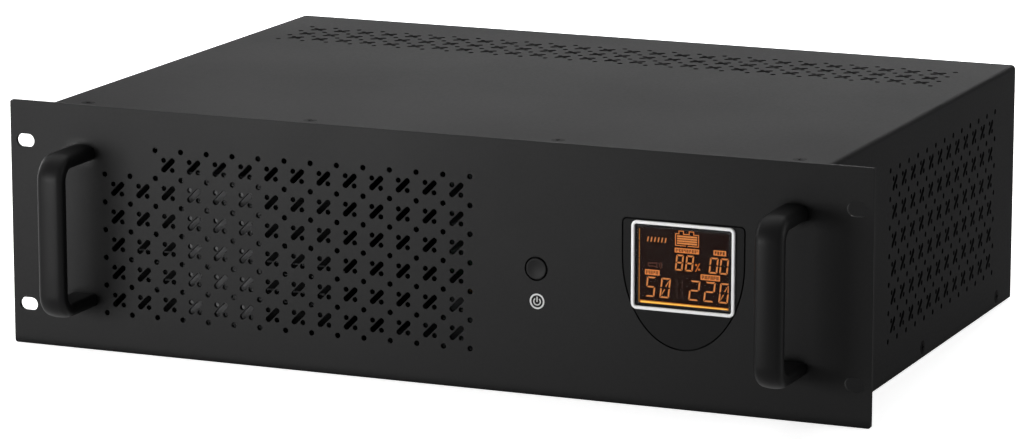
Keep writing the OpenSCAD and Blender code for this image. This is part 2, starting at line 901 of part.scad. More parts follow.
// A sealed battery: case, groove and lid.
module battery(x) {
    case_h = battery_h - battery_lid_h;
    framed() translate([x, battery_y + battery_l / 2, floor_t]) {
        linear_extrude(case_h) rounded(battery_w, battery_l, battery_r);
        translate([0, 0, case_h - weld]) linear_extrude(battery_lid_h + weld)
            rounded(battery_w - 2 * battery_lid_inset, battery_l - 2 * battery_lid_inset, battery_r);
    }
}

module battery_1() { color(black) battery(battery_x - battery_dx); }

module battery_2() { color(black) battery(battery_x + battery_dx); }

module battery_tabs() {
    color(plated) framed() for (b = [-1, 1], s = [-1, 1])
        translate([battery_x + b * battery_dx + s * tab_dx, tab_y, battery_top_z]) {
            translate([-tab_w / 2, 0, 0]) cube([tab_w, tab_foot, tab_t]);
            translate([-tab_w / 2, 0, 0]) cube([tab_w, tab_t, tab_h]);
        }
}

strap_front_y = battery_y - seat_gap - strap_t;
strap_rear_y = battery_y + battery_l + seat_gap;
strap_top_z = battery_top_z + seat_gap;

// Places something at the strap's foot screws, on the floor.
module strap_screw_places() {
    for (sx = [-1, 1], y = [strap_front_y - strap_foot / 2, strap_rear_y + strap_t + strap_foot / 2])
        translate([battery_x + sx * strap_w / 4, y, 0]) children();
}

module battery_strap() {
    color(plated) framed() difference() {
        union() {
            sideways(battery_x - strap_w / 2, strap_w) {
                rect(strap_front_y - strap_foot, floor_t, strap_front_y + strap_t, floor_t + strap_t);
                rect(strap_front_y, floor_t, strap_front_y + strap_t, strap_top_z + strap_t);
                rect(strap_rear_y, floor_t, strap_rear_y + strap_t, strap_top_z + strap_t);
                rect(strap_rear_y, floor_t, strap_rear_y + strap_t + strap_foot, floor_t + strap_t);
            }
            sideways(battery_x - strap_bar_w / 2, strap_bar_w)
                rect(strap_front_y, strap_top_z, strap_rear_y + strap_t, strap_top_z + strap_t);
        }
        strap_screw_places() cylinder(d = screw_d + hole_gap, h = floor_t + strap_t + weld);
    }
}

module battery_strap_screws() {
    color(plated) framed() strap_screw_places() translate([0, 0, floor_t + strap_t])
        pan_screw(screw_d, strap_t + floor_t - seat_gap);
}

// Leads

// A point on a smooth curve through four points, at t from the second to the third.
function between(a, b, c, d, t) =
    0.5 * (2 * b + (c - a) * t + (2 * a - 5 * b + 4 * c - d) * t * t + (3 * b - a - 3 * c + d) * t * t * t);

// A smooth path through points, with n steps to each span.
function smooth(p, n) = concat(
    [for (i = [0 : len(p) - 2], k = [0 : n - 1])
        between(p[max(i - 1, 0)], p[i], p[i + 1], p[min(i + 2, len(p) - 1)], k / n)],
    [p[len(p) - 1]]
);

function unit(v) = v / norm(v);

// A round lead along a path, as one tube. The side vector stays clear of the path's direction.
module lead(points, d, side) {
    steps = 6;
    sides = 8;
    path = smooth(points, steps);
    last = len(path) - 1;
    rings = [for (i = [0 : last])
        let (along = unit(path[min(i + 1, last)] - path[max(i - 1, 0)]),
             u = unit(cross(along, side)),
             v = cross(along, u))
        for (k = [0 : sides - 1]) path[i] + d / 2 * (u * cos(360 * k / sides) + v * sin(360 * k / sides))];
    skin = [for (i = [0 : last - 1], k = [0 : sides - 1])
        let (a = i * sides + k, b = i * sides + (k + 1) % sides)
        each [[a, b, b + sides], [a, b + sides, a + sides]]];
    caps = concat(
        [for (k = [1 : sides - 2]) [0, k + 1, k]],
        [for (k = [1 : sides - 2]) [last * sides, last * sides + k, last * sides + k + 1]]
    );
    polyhedron(points = rings, faces = concat(skin, caps));
}

lead_z = battery_top_z + tab_h + 2 * seat_gap;

// Link from one battery to the other, over the inner pair of tabs
tab_mid_y = tab_y + tab_t / 2;
lead_rise = 5;
link_bow = 4;
inner_tab_x = battery_dx - tab_dx;
outer_tab_x = battery_dx + tab_dx;
link_points = [
    [-inner_tab_x, tab_mid_y, lead_z], [-inner_tab_x, tab_mid_y, lead_z + lead_rise],
    [0, tab_mid_y + link_bow, lead_z + 2 * lead_rise], [inner_tab_x, tab_mid_y, lead_z + lead_rise],
    [inner_tab_x, tab_mid_y, lead_z]
];

// Leads from the outer tabs down to the main board
board_rise = main_top_z + seat_gap;
lead_reach = 22;
lead_end_y = main_y + 5;
function down_points(x, end_x) = [
    [x, tab_mid_y, lead_z], [x, tab_mid_y, lead_z + lead_rise],
    [x, tab_mid_y + lead_reach, lead_z + lead_rise / 2],
    [(x + end_x) / 2, lead_end_y - 15, 70], [end_x, lead_end_y - 1, 40], [end_x, lead_end_y, 24],
    [end_x, lead_end_y, board_rise]
];
red_points = down_points(outer_tab_x, 38);
black_points = down_points(-outer_tab_x, -44);

module battery_link_lead() {
    color("firebrick") framed() translate([battery_x, 0, 0]) lead(link_points, lead_d, [0, 1, 0]);
}

module battery_red_lead() {
    color("red") framed() translate([battery_x, 0, 0]) lead(red_points, lead_d, [1, 0, 0]);
}

module battery_black_lead() {
    color(black) framed() translate([battery_x, 0, 0]) lead(black_points, lead_d, [1, 0, 0]);
}

// Flat ribbon on edge from the display board along the floor to the main board
ribbon_t = 1;
ribbon_h = 12;
ribbon_path = [[110, 24], [60, 30], [22, 44], [10, 80], [4, 160], [-20, 206], [-56, 214]];

// Offset of the ribbon's edge at each point of its path, square to the run there.
function edge_offset(p, i) =
    let (run = p[min(i + 1, len(p) - 1)] - p[max(i - 1, 0)])
    ribbon_t / 2 * [-run[1], run[0]] / norm(run);

module display_ribbon() {
    p = ribbon_path;
    last = len(p) - 1;
    near = [for (i = [0 : last]) p[i] + edge_offset(p, i)];
    far = [for (i = [0 : last]) p[last - i] - edge_offset(p, last - i)];
    color("gray") framed() level(floor_t, ribbon_h) polygon(concat(near, far));
}

// Transformer

module transformer_core() {
    window_h_core = core_h - 2 * core_yoke;
    color([0.3, 0.3, 0.32]) framed() upright(core_y, core_d) difference() {
        translate([core_x, floor_t + core_h / 2]) square([core_w, core_h], center = true);
        for (s = [-1, 1])
            translate([core_x + s * (core_leg_w + core_yoke) / 2, floor_t + core_h / 2])
                square([core_yoke, window_h_core], center = true);
    }
}

module transformer_winding() {
    coil_h = core_h - 2 * core_yoke - 2 * coil_gap;
    inner_w = core_leg_w + 2 * coil_gap;
    inner_d = core_d + 2 * coil_gap;
    color([0.55, 0.3, 0.12]) framed()
        translate([core_x, core_y + core_d / 2, floor_t + core_h / 2 - coil_h / 2])
            linear_extrude(coil_h) difference() {
                rounded(inner_w + 2 * coil_build, inner_d + 2 * coil_build, coil_r);
                square([inner_w, inner_d], center = true);
            }
}

// Places something at the transformer's foot screws, on the floor.
module core_screw_places() {
    for (sx = [-1, 1], sy = [-1, 1])
        translate([core_x + sx * (core_w / 2 - core_screw_inset),
                   core_y + core_d / 2 + sy * (core_d + core_foot + core_bracket_t) / 2, 0]) children();
}

module transformer_frame() {
    color(plated) framed() difference() {
        for (s = [0, 1]) translate([0, core_y + core_d / 2, 0]) mirror([0, s, 0])
            sideways(core_x - core_w / 2, core_w) {
                rect(core_d / 2, floor_t, core_d / 2 + core_foot, floor_t + core_bracket_t);
                rect(core_d / 2, floor_t, core_d / 2 + core_bracket_t, floor_t + core_bracket_h);
            }
        core_screw_places() cylinder(d = screw_d + hole_gap, h = floor_t + core_bracket_t + weld);
    }
}

module transformer_screws() {
    color(plated) framed() core_screw_places() translate([0, 0, floor_t + core_bracket_t])
        pan_screw(screw_d, core_bracket_t + floor_t - seat_gap);
}

// Main board

main_mid = [main_x, main_y + main_d / 2];

// Places something at the main board's corner spacers.
module at_main_spacers() {
    for (sx = [-1, 1], sy = [-1, 1])
        translate([main_mid[0] + sx * spacer_dx, main_mid[1] + sy * spacer_dy]) children();
}

module main_board() {
    color(board_green) framed() level(main_z, board_t) difference() {
        translate(main_mid) square([main_w, main_d], center = true);
        at_main_spacers() circle(d = spacer_hole_d);
    }
}

module board_spacers() {
    color("gold") framed() {
        at_main_spacers() translate([0, 0, floor_t])
            hex_tube(spacer_across, spacer_hole_d, main_z - floor_t);
        for (s = [-1, 1]) translate([jack_x, comms_back_y, comms_board_z + s * comms_spacer_dz]) facing_rear()
            hex_tube(spacer_across, spacer_hole_d, rear_in - comms_back_y);
    }
}

module board_screws() {
    color(plated) framed() {
        at_main_spacers() translate([0, 0, main_top_z])
            pan_screw(spacer_hole_d - hole_gap, screw_l, spacer_across);
        for (s = [-1, 1]) translate([jack_x, comms_back_y - board_t, comms_board_z + s * comms_spacer_dz])
            rotate([90, 0, 0]) pan_screw(spacer_hole_d - hole_gap, screw_l, spacer_across);
    }
}

// A finned heat sink standing on the board. Its fins point along side, -1 or 1 in X.
module heatsink(side) {
    fin_step = (sink_h - sink_fin_t) / (sink_fins - 1);
    framed() translate([main_mid[0] + side * sink_dx, main_mid[1] - sink_l / 2, main_top_z])
        mirror([side < 0 ? 1 : 0, 0, 0]) upright(0, sink_l) {
            square([sink_base_t, sink_h]);
            for (i = [0 : sink_fins - 1]) translate([0, i * fin_step])
                square([sink_base_t + sink_fin_l, sink_fin_t]);
        }
}

module heatsink_1() { color("silver") heatsink(-1); }

module heatsink_2() { color("silver") heatsink(1); }

module power_transistors() {
    body = [4.5, 10, 15];
    leg = [0.6, 1, 5];
    leg_pitch = 2.5;
    pitch = sink_l / transistors_per_sink;
    color(black) framed() for (side = [-1, 1], i = [0 : transistors_per_sink - 1])
        translate([main_mid[0] + side * sink_dx, main_mid[1] - sink_l / 2 + (i + 0.5) * pitch, main_top_z])
            mirror([side < 0 ? 1 : 0, 0, 0]) {
                translate([-body[0], -body[1] / 2, leg[2] - weld]) cube(body);
                for (k = [-1, 0, 1]) translate([-body[0] / 2, k * leg_pitch - leg[1] / 2, 0]) cube(leg);
            }
}

module capacitors() {
    d = 18;
    h = 34;
    pitch = 18.8;
    neck = 1;
    groove_z = 5;
    color("midnightblue") framed() for (i = [0 : 2])
        translate([main_mid[0] + (i - 1) * pitch, main_mid[1] + 24, main_top_z]) difference() {
            cylinder(d = d, h = h);
            translate([0, 0, groove_z]) rotate_extrude() translate([d / 2, 0]) circle(neck);
        }
}

module relays() {
    size = [15, 28, 22];
    pitch = 17;
    color([0.1, 0.1, 0.12]) framed() for (i = [0 : 2])
        translate([main_mid[0] + (i - 1) * pitch - size[0] / 2, main_mid[1] - size[1], main_top_z])
            cube(size);
}

// Fan

// Puts something on the fan's axis, +Z to the rear from depth y.
module on_fan(y) { translate([fan_x, y, fan_z]) facing_rear() children(); }

fan_y = rear_in - fan_t;

module fan_frame() {
    shaft_l = fan_t - fan_base_t - fan_rear_gap - 2 * fan_cap_t - rotor_gap;
    color(black) framed() {
        difference() {
            upright(fan_y, fan_t) translate([fan_x, fan_z]) rounded(fan_side, fan_side, fan_r);
            on_fan(fan_y - weld) cylinder(d = fan_bore_d, h = fan_t + 2 * weld);
            at_fan_places(fan_y - weld) cylinder(d = fan_screw_d + hole_gap, h = fan_t + 2 * weld);
        }
        on_fan(fan_y) cylinder(d = fan_hub_d, h = fan_base_t);
        on_fan(fan_y) cylinder(d = fan_shaft_d, h = fan_base_t + shaft_l);
        on_fan(fan_y) for (a = [0, 90]) rotate(a + fan_strut_angle)
            translate([-fan_bore_d / 2 - weld, -fan_strut_w / 2, 0])
                cube([fan_bore_d + 2 * weld, fan_strut_w, fan_strut_t]);
    }
}

// Puts something at each fixing hole of the fan, +Z to the rear from depth y.
module at_fan_places(y) {
    for (sx = [-1, 1], sz = [-1, 1])
        translate([fan_x + sx * fan_hole_pitch / 2, y, fan_z + sz * fan_hole_pitch / 2])
            facing_rear() children();
}

module fan_rotor() {
    hub_y = fan_y + fan_base_t + rotor_gap;
    hub_h = fan_t - fan_base_t - rotor_gap - fan_rear_gap;
    root_r = fan_hub_d / 2 - 4 * weld;
    blade_r = fan_bore_d / 2 - fan_tip_gap;
    color([0.12, 0.12, 0.13]) framed() on_fan(hub_y) difference() {
        union() {
            cylinder(d = fan_hub_d, h = hub_h);
            intersection() {
                cylinder(r = blade_r, h = hub_h);
                for (i = [0 : fan_blades - 1]) rotate(i * 360 / fan_blades)
                    translate([root_r, 0, hub_h / 2]) rotate([fan_pitch, 0, 0])
                        translate([0, -fan_chord / 2, -fan_blade_t / 2])
                            cube([blade_r, fan_chord, fan_blade_t]);
            }
        }
        translate([0, 0, -weld]) cylinder(d = fan_shaft_d + 2 * run_gap, h = hub_h - fan_cap_t + weld);
    }
}

module fan_guard() {
    wire_y = rear_out + guard_wire_d / 2 + run_gap;
    ring_lift = guard_wire_d * 0.8;
    corner_r = fan_hole_pitch / sqrt(2);
    arm = corner_r - guard_loop_r;
    color(plated) framed() on_fan(wire_y) {
        for (i = [1 : guard_rings]) translate([0, 0, ring_lift]) rotate_extrude()
            translate([i * guard_ring_step, 0]) circle(d = guard_wire_d);
        for (a = [45, 135]) rotate(a) rotate([0, 90, 0]) translate([0, 0, -arm])
            cylinder(d = guard_wire_d, h = 2 * arm);
        for (a = [45 : 90 : 315]) rotate(a) translate([corner_r, 0, 0]) rotate_extrude()
            translate([guard_loop_r, 0]) circle(d = guard_wire_d);
    }
}

module fan_screws() {
    color(plated) framed() at_fan_places(rear_out + guard_wire_d + 2 * run_gap)
        pan_screw(fan_screw_d, fan_screw_l, fan_screw_head_d);
}

// Rear sockets

// Outline of the inlet's cavity: a rectangle with two cut corners.
module inlet_outline() {
    w = inlet_cavity[0] / 2;
    h = inlet_cavity[1] / 2;
    polygon([[-w, -h], [w, -h], [w, h - inlet_chamfer], [w - inlet_chamfer, h], [inlet_chamfer - w, h],
             [-w, h - inlet_chamfer]]);
}

// Places the inlet's three pins in the plane of the rear panel.
module at_inlet_pins() {
    for (p = [[-inlet_pin_dx, -inlet_pin_dz / 2], [inlet_pin_dx, -inlet_pin_dz / 2], [0, inlet_pin_dz / 2]])
        translate([inlet_x + p[0], inlet_z + p[1]]) children();
}

inlet_mouth_y = rear_out + inlet_flange_t;
inlet_floor_y = inlet_mouth_y - inlet_cavity_t;
inlet_back_y = rear_out - inlet_depth;

module inlet_socket() {
    color(black) framed() difference() {
        union() {
            upright(rear_out, inlet_flange_t) translate([inlet_x, inlet_z])
                rounded(inlet_flange[0], inlet_flange[1], bend_r);
            upright(inlet_back_y, inlet_depth + weld) translate([inlet_x, inlet_z])
                square(inlet_body, center = true);
        }
        upright(inlet_floor_y, inlet_cavity_t + weld) translate([inlet_x, inlet_z]) inlet_outline();
        upright(inlet_back_y - weld, inlet_depth) at_inlet_pins()
            square([inlet_pin[0] + hole_gap / 2, inlet_pin[1] + hole_gap / 2], center = true);
    }
}

module inlet_pins() {
    tip_y = inlet_mouth_y - inlet_pin_recess;
    tail_y = inlet_back_y - inlet_tail;
    color("gold") framed() upright(tail_y, tip_y - tail_y) at_inlet_pins() square(inlet_pin, center = true);
}

outlet_mouth_y = rear_out + outlet_flange_t;
outlet_floor_y = outlet_mouth_y - outlet_recess_t;

// An earthed round socket: square flange, barrel, recess, two pin holes and two clip slots.
module outlet(index) {
    slot_r = outlet_recess_d / 2 - clip_t / 2;
    framed() translate([outlet_x0 - index * outlet_pitch, 0, outlet_z]) difference() {
        union() {
            upright(rear_out, outlet_flange_t) rounded(outlet_flange, outlet_flange, outlet_flange_r);
            translate([0, rear_out - outlet_depth, 0]) facing_rear()
                cylinder(d = outlet_barrel_d, h = outlet_depth + weld);
        }
        translate([0, outlet_floor_y, 0]) facing_rear()
            cylinder(d = outlet_recess_d, h = outlet_recess_t + weld);
        for (s = [-1, 1]) {
            translate([s * outlet_pin_dx, outlet_floor_y - sleeve_l - weld, 0]) facing_rear()
                cylinder(d = sleeve_d + hole_gap / 2, h = sleeve_l + 2 * weld);
            upright(outlet_floor_y, clip_l + hole_gap / 2) translate([0, s * slot_r])
                square([clip_w + hole_gap / 2, 2 * clip_t + hole_gap / 2], center = true);
        }
    }
}

module outlet_1() { color(black) outlet(0); }

module outlet_2() { color(black) outlet(1); }

module outlet_3() { color(black) outlet(2); }

module outlet_4() { color(black) outlet(3); }

module outlet_contacts() {
    clip_r = outlet_recess_d / 2;
    color("gold") framed() for (i = [0 : 3]) translate([outlet_x0 - i * outlet_pitch, 0, outlet_z])
        for (s = [-1, 1]) {
            translate([s * outlet_pin_dx, outlet_floor_y - sleeve_l, 0]) facing_rear() difference() {
                cylinder(d = sleeve_d, h = sleeve_l - weld);
                translate([0, 0, -weld]) cylinder(d = sleeve_bore_d, h = sleeve_l + weld);
            }
            upright(outlet_floor_y, clip_l) translate([0, s * clip_r])
                square([clip_w, clip_t], center = true);
        }
}

// Puts something on the breaker's axis, +Z to the rear from depth y.
module on_breaker(y) { translate([breaker_x, y, breaker_z]) facing_rear() children(); }

breaker_neck_y = rear_out + breaker_neck_l;
breaker_button_root = 12;

module breaker_body() {
    color(black) framed() difference() {
        union() {
            translate([breaker_x - breaker_body_size[0] / 2, rear_in - breaker_body_size[1],
                       breaker_z - breaker_body_size[2] / 2]) cube(breaker_body_size);
            on_breaker(rear_in - weld) cylinder(d = breaker_neck_d, h = sheet_t + breaker_neck_l + weld);
        }
        on_breaker(breaker_neck_y - breaker_button_root - 1)
            cylinder(d = breaker_button_d + 2 * run_gap, h = breaker_button_root + 1 + weld);
    }
}

module breaker_button() {
    cap_y = breaker_neck_y + breaker_cap_gap;
    color("firebrick") framed() {
        on_breaker(breaker_neck_y - breaker_button_root)
            cylinder(d = breaker_button_d, h = breaker_button_root + breaker_cap_gap + weld);
        on_breaker(cap_y) cylinder(d = breaker_cap_d, h = body_depth + breaker_reach - cap_y);
    }
}

module breaker_nut() {
    color(plated) framed() on_breaker(rear_out)
        hex_tube(breaker_nut_across, breaker_neck_d + hole_gap / 2, breaker_nut_t);
}

jack_mouth_y = rear_out + jack_lip;

module usb_port() {
    tongue_gap = 1;
    color(plated) framed() translate([jack_x, 0, usb_z]) {
        difference() {
            upright(comms_back_y, jack_depth) square(usb_size, center = true);
            upright(jack_mouth_y - usb_cavity_t, usb_cavity_t + weld) square(usb_cavity, center = true);
        }
        upright(jack_mouth_y - usb_cavity_t - weld, usb_cavity_t + weld - tongue_gap)
            square(usb_tongue, center = true);
    }
}

module network_jack() {
    color(black) framed() translate([jack_x, 0, network_z]) difference() {
        upright(comms_back_y, jack_depth) square(network_size, center = true);
        upright(jack_mouth_y - network_cavity_t, network_cavity_t + weld) for (s = [-1, 1])
            translate([s * network_dx, 0]) {
                square(network_cavity, center = true);
                translate([0, -network_cavity[1] / 2])
                    square([network_latch[0], 2 * network_latch[1]], center = true);
            }
    }
}

module comms_board() {
    color(board_green) framed() upright(comms_back_y - board_t, board_t) difference() {
        translate([jack_x, comms_board_z]) square([comms_board_w, comms_board_h], center = true);
        at_comms_spacers() circle(d = spacer_hole_d);
    }
}

front_panel();
chassis_base();
top_rail();
panel_nuts();
top_cover();
cover_screws();
rear_panel();
rear_screws();
left_handle();
right_handle();
handle_screws();
display_bezel();
display_frame();
display_window();
lcd_module();
display_board();
display_spacers();
display_board_screws();
power_button();
button_guide();
power_switch();
switch_plunger();
battery_1();
battery_2();
battery_tabs();
battery_strap();
battery_strap_screws();
battery_link_lead();
battery_red_lead();
battery_black_lead();
transformer_core();
transformer_winding();
transformer_frame();
transformer_screws();
main_board();
board_spacers();
board_screws();
heatsink_1();
heatsink_2();
power_transistors();
capacitors();
relays();
display_ribbon();
fan_frame();
fan_rotor();
fan_guard();
fan_screws();
inlet_socket();
inlet_pins();
outlet_1();
outlet_2();
outlet_3();
outlet_4();
outlet_contacts();
breaker_body();
breaker_button();
breaker_nut();
usb_port();
network_jack();
comms_board();
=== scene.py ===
"""Looks of a rack-mount uninterruptible power supply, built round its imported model.

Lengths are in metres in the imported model's own frame: +X runs along the panel, the
front faces -Y and +Z is up. Drawings on the panel are in millimetres.
"""

import logging
import math
from dataclasses import dataclass, field
from enum import Enum
from functools import cache
from typing import Iterable, Optional, Sequence, Union

import bmesh
import bpy
from mathutils import Matrix, Vector


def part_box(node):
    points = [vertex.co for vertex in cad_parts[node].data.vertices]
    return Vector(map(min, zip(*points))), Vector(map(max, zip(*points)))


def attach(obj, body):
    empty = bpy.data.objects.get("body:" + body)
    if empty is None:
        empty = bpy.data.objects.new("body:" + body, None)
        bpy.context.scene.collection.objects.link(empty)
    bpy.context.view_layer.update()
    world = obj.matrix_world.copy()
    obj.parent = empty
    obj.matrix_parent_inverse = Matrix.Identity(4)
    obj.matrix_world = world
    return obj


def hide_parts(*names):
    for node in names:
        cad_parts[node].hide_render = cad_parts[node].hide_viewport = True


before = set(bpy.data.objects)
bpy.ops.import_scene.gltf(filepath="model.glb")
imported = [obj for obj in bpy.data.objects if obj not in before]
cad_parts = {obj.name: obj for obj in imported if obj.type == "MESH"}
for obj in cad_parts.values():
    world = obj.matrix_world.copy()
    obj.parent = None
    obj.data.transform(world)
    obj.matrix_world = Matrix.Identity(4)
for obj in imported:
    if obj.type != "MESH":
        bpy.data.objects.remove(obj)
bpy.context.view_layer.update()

LOG = logging.getLogger("rack_supply")
NODES: dict[str, bpy.types.Object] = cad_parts
MM = 0.001
CASE = "case"
PANEL_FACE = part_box("front_panel")[0].y

Colour = tuple[float, float, float]
Point = tuple[float, float, float]
Flat = tuple[float, float]
Box = tuple[float, float, float, float]
Mesh = bmesh.types.BMesh
Node = bpy.types.Node
Tree = bpy.types.NodeTree
Socket = bpy.types.NodeSocket
Value = Union[float, Colour, Socket]


class Graph:
    """Adds and joins nodes in one node tree."""

    def __init__(self, tree: Tree) -> None:
        """Keeps the tree that the nodes go into."""
        self.tree = tree

    @classmethod
    def of(cls, owner: Union[bpy.types.Material, bpy.types.World]) -> "Graph":
        """Returns an empty graph in a new material or world."""
        owner.use_nodes = True
        owner.node_tree.nodes.clear()
        return cls(owner.node_tree)

    def node(self, kind: str, values: Optional[dict] = None, **settings) -> Node:
        """Adds a node.

        Args:
            kind: The node's type name.
            values: Input name or index to a constant or a socket that feeds it.
            settings: Attributes of the node.

        Returns:
            The new node.
        """
        made = self.tree.nodes.new(kind)
        for name, value in settings.items():
            setattr(made, name, value)
        self.fill(made, values or {})
        return made

    def fill(self, node: Node, values: dict) -> None:
        """Links a node's inputs to the sockets that feed them, or sets their constants."""
        for name, value in values.items():
            socket = node.inputs[name]
            if isinstance(value, Socket):
                self.tree.links.new(value, socket)
            elif socket.type == "RGBA":
                socket.default_value = (*value, 1.0)
            else:
                socket.default_value = value

    def group(self, tree: Tree, values: dict) -> Node:
        """Adds a shader group with its input values."""
        return self.node("ShaderNodeGroup", values, node_tree=tree)

    def math(self, operation: str, a: Value, b: Value) -> Socket:
        """Returns the result of a sum on two values."""
        return self.node("ShaderNodeMath", {0: a, 1: b}, operation=operation).outputs[0]

    def mix(self, factor: Value, a: Value, b: Value) -> Socket:
        """Returns a blend of two colours."""
        return self.node("ShaderNodeMix", {0: factor, 6: a, 7: b}, data_type="RGBA").outputs[2]

    def blend(self, factor: Value, a: Value, b: Value) -> Socket:
        """Returns a blend of two numbers."""
        return self.node("ShaderNodeMix", {0: factor, 2: a, 3: b}, data_type="FLOAT").outputs[0]

    def span(self, value: Value, low: float, high: float, to_low: float, to_high: float) -> Socket:
        """Returns a value moved from one range to another, clamped."""
        values = {0: value, 1: low, 2: high, 3: to_low, 4: to_high}
        return self.node("ShaderNodeMapRange", values).outputs[0]

    def place(self) -> Socket:
        """Returns the point on the surface, in metres in the model's frame."""
        return self.node("ShaderNodeTexCoord").outputs["Object"]

    def noise(self, point: Socket, scale: Value, detail: float, rough: float = 0.55) -> Socket:
        """Returns a noise value at a point."""
        values = {"Vector": point, "Scale": scale, "Detail": detail, "Roughness": rough}
        return self.node("ShaderNodeTexNoise", values).outputs[0]


class Effects:
    """Shader groups that several finishes share, each built once."""

    @staticmethod
    def _group(name: str, inputs: dict[str, float], outputs: Sequence[str]) -> tuple:
        """Returns a new group's graph, its input node and its output node.

        Inputs and outputs are numbers, apart from an output called Normal.
        """
        tree = bpy.data.node_groups.new(name, "ShaderNodeTree")
        number, vector = "NodeSocketFloat", "NodeSocketVector"
        for key, value in inputs.items():
            made = tree.interface.new_socket(name=key, in_out="INPUT", socket_type=number)
            made.default_value = value
        for key in outputs:
            kind = vector if key == "Normal" else number
            tree.interface.new_socket(name=key, in_out="OUTPUT", socket_type=kind)
        graph = Graph(tree)
        return graph, graph.node("NodeGroupInput"), graph.node("NodeGroupOutput")

    @staticmethod
    @cache
    def grain() -> Tree:
        """Returns the pebbled grain of a coat or a moulding, with its mottling and handling."""
        inputs = {"Scale": 1000.0, "Cloud Scale": 9.0}
        graph, given, out = Effects._group("surface_grain", inputs, ("Height", "Mottle", "Cloud"))
        point, scale = graph.place(), given.outputs["Scale"]
        cells = {"Vector": point, "Scale": scale}
        pebble = graph.node("ShaderNodeTexVoronoi", cells, feature="SMOOTH_F1")
        fine = graph.noise(point, graph.math("MULTIPLY", scale, 2.3), 2.0)
        broad = graph.noise(point, graph.math("MULTIPLY", scale, 0.55), 4.0)
        low = graph.math("MULTIPLY", pebble.outputs["Distance"], 0.45)
        high = graph.math("SUBTRACT", broad, low)
        height = graph.math("ADD", graph.math("MULTIPLY", fine, 0.35), high)
        mottle = graph.span(broad, 0.3, 0.7, 0.0, 1.0)
        patches = graph.noise(point, given.outputs["Cloud Scale"], 5.0, 0.62)
        cloud = graph.span(patches, 0.32, 0.68, 0.0, 1.0)
        graph.fill(out, {"Height": height, "Mottle": mottle, "Cloud": cloud})
        return graph.tree

    @staticmethod
    @cache
    def edge() -> Tree:
        """Returns the softened normal of a sharp edge and a broken mask along it, where a highlight
        is painted, broken like wear.

        Its third output is a mask of the faces that are turned away from front and rear.
        """
        inputs = {"Radius": 0.4 * MM, "Break Scale": 160.0}
        graph, given, out = Effects._group("softened_edge", inputs, ("Normal", "Highlight And Wear", "Turned"))
        bevel = graph.node("ShaderNodeBevel", {"Radius": given.outputs["Radius"]}, samples=4)
        true = graph.node("ShaderNodeNewGeometry").outputs["True Normal"]
        pair = {0: bevel.outputs[0], 1: true}
        dot = graph.node("ShaderNodeVectorMath", pair, operation="DOT_PRODUCT")
        near = graph.span(dot.outputs["Value"], 0.999, 0.86, 0.0, 1.0)
        patches = graph.noise(graph.place(), given.outputs["Break Scale"], 4.0)
        broken = graph.span(patches, 0.35, 0.65, 0.25, 1.0)
        wear = graph.math("MULTIPLY", near, broken)
        ways = graph.node("ShaderNodeSeparateXYZ", {0: true})
        facing = graph.math("ABSOLUTE", ways.outputs["Y"], 0.0)
        turned = graph.span(facing, 0.5, 0.9, 1.0, 0.0)
        graph.fill(out, {"Normal": bevel.outputs[0], "Highlight And Wear": wear, "Turned": turned})
        return graph.tree

    @staticmethod
    @cache
    def streak() -> Tree:
        """Returns fine streaks drawn out along one way, as rolling or extruding leaves them."""
        inputs = {"Scale": 900.0, "X": 1.0, "Y": 1.0, "Z": 1.0}
        graph, given, out = Effects._group("drawn_streak", inputs, ("Streak", "Spangle"))
        point = graph.place()
        stretch = graph.node("ShaderNodeCombineXYZ", {k: given.outputs[k] for k in "XYZ"})
        pair = {0: point, 1: stretch.outputs[0]}
        pulled = graph.node("ShaderNodeVectorMath", pair, operation="MULTIPLY").outputs[0]
        streak = graph.noise(pulled, given.outputs["Scale"], 3.0, 0.7)
        flake = graph.node("ShaderNodeTexVoronoi", {"Vector": point, "Scale": 220.0})
        grey = graph.node("ShaderNodeRGBToBW", {0: flake.outputs["Color"]})
        graph.fill(out, {"Streak": streak, "Spangle": grey.outputs[0]})
        return graph.tree


class Along(Enum):
    """The way that a metal's streaks run."""

    X = (0.03, 1.0, 1.0)
    Y = (1.0, 0.03, 1.0)
    Z = (1.0, 1.0, 0.03)


